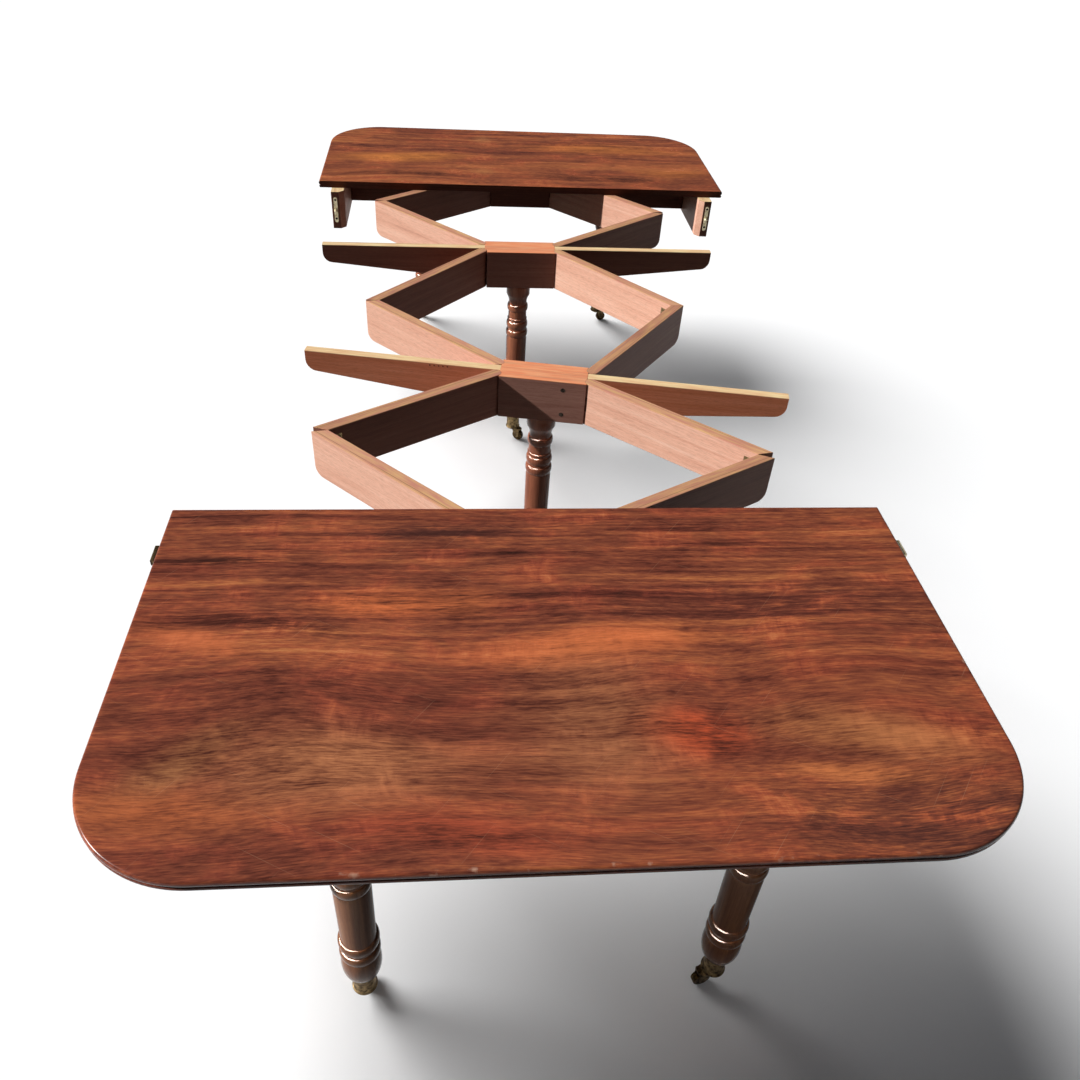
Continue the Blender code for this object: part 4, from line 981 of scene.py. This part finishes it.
for face in screw.faces:
    face.material_index = 1
screw_mesh = bpy.data.meshes.new("slotted_screw")
screw.to_mesh(screw_mesh)
screw.free()


def add_screw(shape, place, outward, turn, scale=1.0):
    """Put a copy of the screw's head on a surface, facing outward, with its slot turned."""
    known = set(shape.verts)
    shape.from_mesh(screw_mesh)
    sized = Matrix.Rotation(turn, 4, "Z") @ Matrix.Diagonal((scale, scale, 1, 1))
    seat = seat_at(place, outward) @ sized
    bmesh.ops.transform(shape, matrix=seat, verts=[vert for vert in shape.verts if vert not in known])


print("screw:", len(screw_mesh.polygons), "faces")

# %% [markdown]
# ## Hinge plates
# The frame has the hinges' barrels. The plates are a fraction of a millimetre proud of the wood, one to each
# rail of a corner. The joint says where the pin is and which two rails meet there. Each plate rides on its
# own rail, so the hinge opens and shuts.

# %% Make the hinge plates
RAIL_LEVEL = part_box("near_block")[1].z
LEAF_TOP, LEAF_FOOT = RAIL_LEVEL - 0.018, RAIL_LEVEL - 0.083
LEAF_START, LEAF_WIDTH, LEAF_PROUD, FACE_GAP = 0.0068, 0.024, 0.0003, 0.00075
LEAF_SCREWS = ((-0.022, -0.003), (0.0, 0.003), (0.022, -0.003))
FIRST_TURN = 0.6

for name, joint in joint_of.items():
    if not name.endswith("_corner"):
        continue
    for rail in (joint["parent"], joint["child"]):
        centre, turn = lies[rail]
        corner = Vector((joint["pos_m"][0], joint["pos_m"][1], (LEAF_TOP + LEAF_FOOT) / 2))
        along = turn.inverted() @ Vector((1, 0, 0))
        along *= math.copysign(1, along.dot(centre - corner))
        inward = Vector((-along.y, along.x, 0))
        inward *= math.copysign(1, inward.dot(corner - centre))
        middle = corner + along * (LEAF_START + LEAF_WIDTH / 2) - inward * FACE_GAP
        frame_of_leaf = Matrix((along, inward, along.cross(inward))).transposed().to_4x4()
        size = Matrix.Diagonal((LEAF_WIDTH, 2 * LEAF_PROUD, LEAF_TOP - LEAF_FOOT, 1))
        shape = bmesh.new()
        bmesh.ops.create_cube(shape, size=1.0, matrix=Matrix.Translation(middle) @ frame_of_leaf @ size)
        ease(shape, list(shape.edges), LEAF_PROUD / 2, 1)
        for row, (lift, aside) in enumerate(LEAF_SCREWS):
            add_screw(shape, middle + Vector((0, 0, lift)) + along * aside, inward, FIRST_TURN + row)
        set_out(name + "_leaf_" + rail, shape, [aged_brass, black_iron], body=body_of[rail])
print("hinge plates:", 2 * sum(name.endswith("_corner") for name in joint_of))

# %% [markdown]
# ## Screws, nails and peg plates
# Two larger screws show in the front of the near block, beside its leg, and a short row of nails in the face
# of its left arm, close under the upper edge. The far aprons' ends carry a narrow brass plate behind
# each peg. Each is set from its own board: so far along, so far below the upper edge, on the front face.

# %% Make the screws, nails and peg plates
def front_spot(node, along, below):
    """A point on a board's front face, `along` to the right of its middle and `below` its upper edge."""
    centre, turn = lies[node]
    front = turn.inverted() @ Vector((0, -1, 0))
    front *= math.copysign(1, -front.y)
    rightward = Vector((-front.y, front.x, 0))
    depth = max((vert.co - centre).dot(front) for vert in frame["nodes"][node].data.vertices)
    return centre + rightward * along + front * depth - Vector((0, 0, below)), front


BLOCK_SCREW_ALONG, BLOCK_SCREW_SCALE, BLOCK_SCREW_TURN = 0.051, 1.5, 0.4
BLOCK_SCREW_BELOW = (0.023, 0.092)
shape = bmesh.new()
for index, below in enumerate(BLOCK_SCREW_BELOW):
    place, front = front_spot("near_block", BLOCK_SCREW_ALONG, below)
    add_screw(shape, place, front, BLOCK_SCREW_TURN + index, BLOCK_SCREW_SCALE)
set_out("near_block_screws", shape, [aged_brass, black_iron], body="near_block")

NAIL_ALONG, NAIL_STEP, NAIL_BELOW, NAIL_RADIUS, NAILS = 0.055, 0.011, 0.0065, 0.0017, 5
NAIL_FLATNESS = 0.3
shape = bmesh.new()
for index in range(NAILS):
    place, front = front_spot("near_arm_left", NAIL_ALONG + index * NAIL_STEP, NAIL_BELOW)
    bmesh.ops.create_uvsphere(shape, u_segments=12, v_segments=8, radius=NAIL_RADIUS,
                              matrix=seat_at(place, front) @ Matrix.Diagonal((1, 1, NAIL_FLATNESS, 1)))
set_out("near_arm_nails", shape, [black_iron], body="near_block")

PLATE_HALF, PLATE_PROUD, PLATE_TOP, PLATE_FOOT = 0.0062, 0.0004, 0.018, 0.104
PLATE_SCREWS, PLATE_SCREW_TURN = (-0.030, 0.034), 0.3
ROUND_END = 0.98
for side in ("left", "right"):
    apron_low, apron_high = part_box("far_side_apron_" + side)
    peg_low, peg_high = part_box("far_peg_" + side)
    middle = Vector(((peg_low.x + peg_high.x) / 2, apron_low.y, apron_high.z - (PLATE_TOP + PLATE_FOOT) / 2))
    size = Matrix.Diagonal((2 * PLATE_HALF, 2 * PLATE_PROUD, PLATE_FOOT - PLATE_TOP, 1))
    shape = bmesh.new()
    bmesh.ops.create_cube(shape, size=1.0, matrix=Matrix.Translation(middle) @ size)
    corner_edges = [edge for edge in shape.edges
                    if abs(edge.verts[0].co.y - edge.verts[1].co.y) > PLATE_PROUD]
    ease(shape, corner_edges, PLATE_HALF * ROUND_END, 8)
    for lift in PLATE_SCREWS:
        place = middle + Vector((0, -PLATE_PROUD, lift))
        add_screw(shape, place, Vector((0, -1, 0)), PLATE_SCREW_TURN + lift)
    # the plate is the pale brass: partly rubbed, partly a painted highlight
    set_out("far_peg_plate_" + side, shape, [pale_brass_painted_highlight, black_iron], body="far_end")
print("screws 2, nails", NAILS, "plates 2")
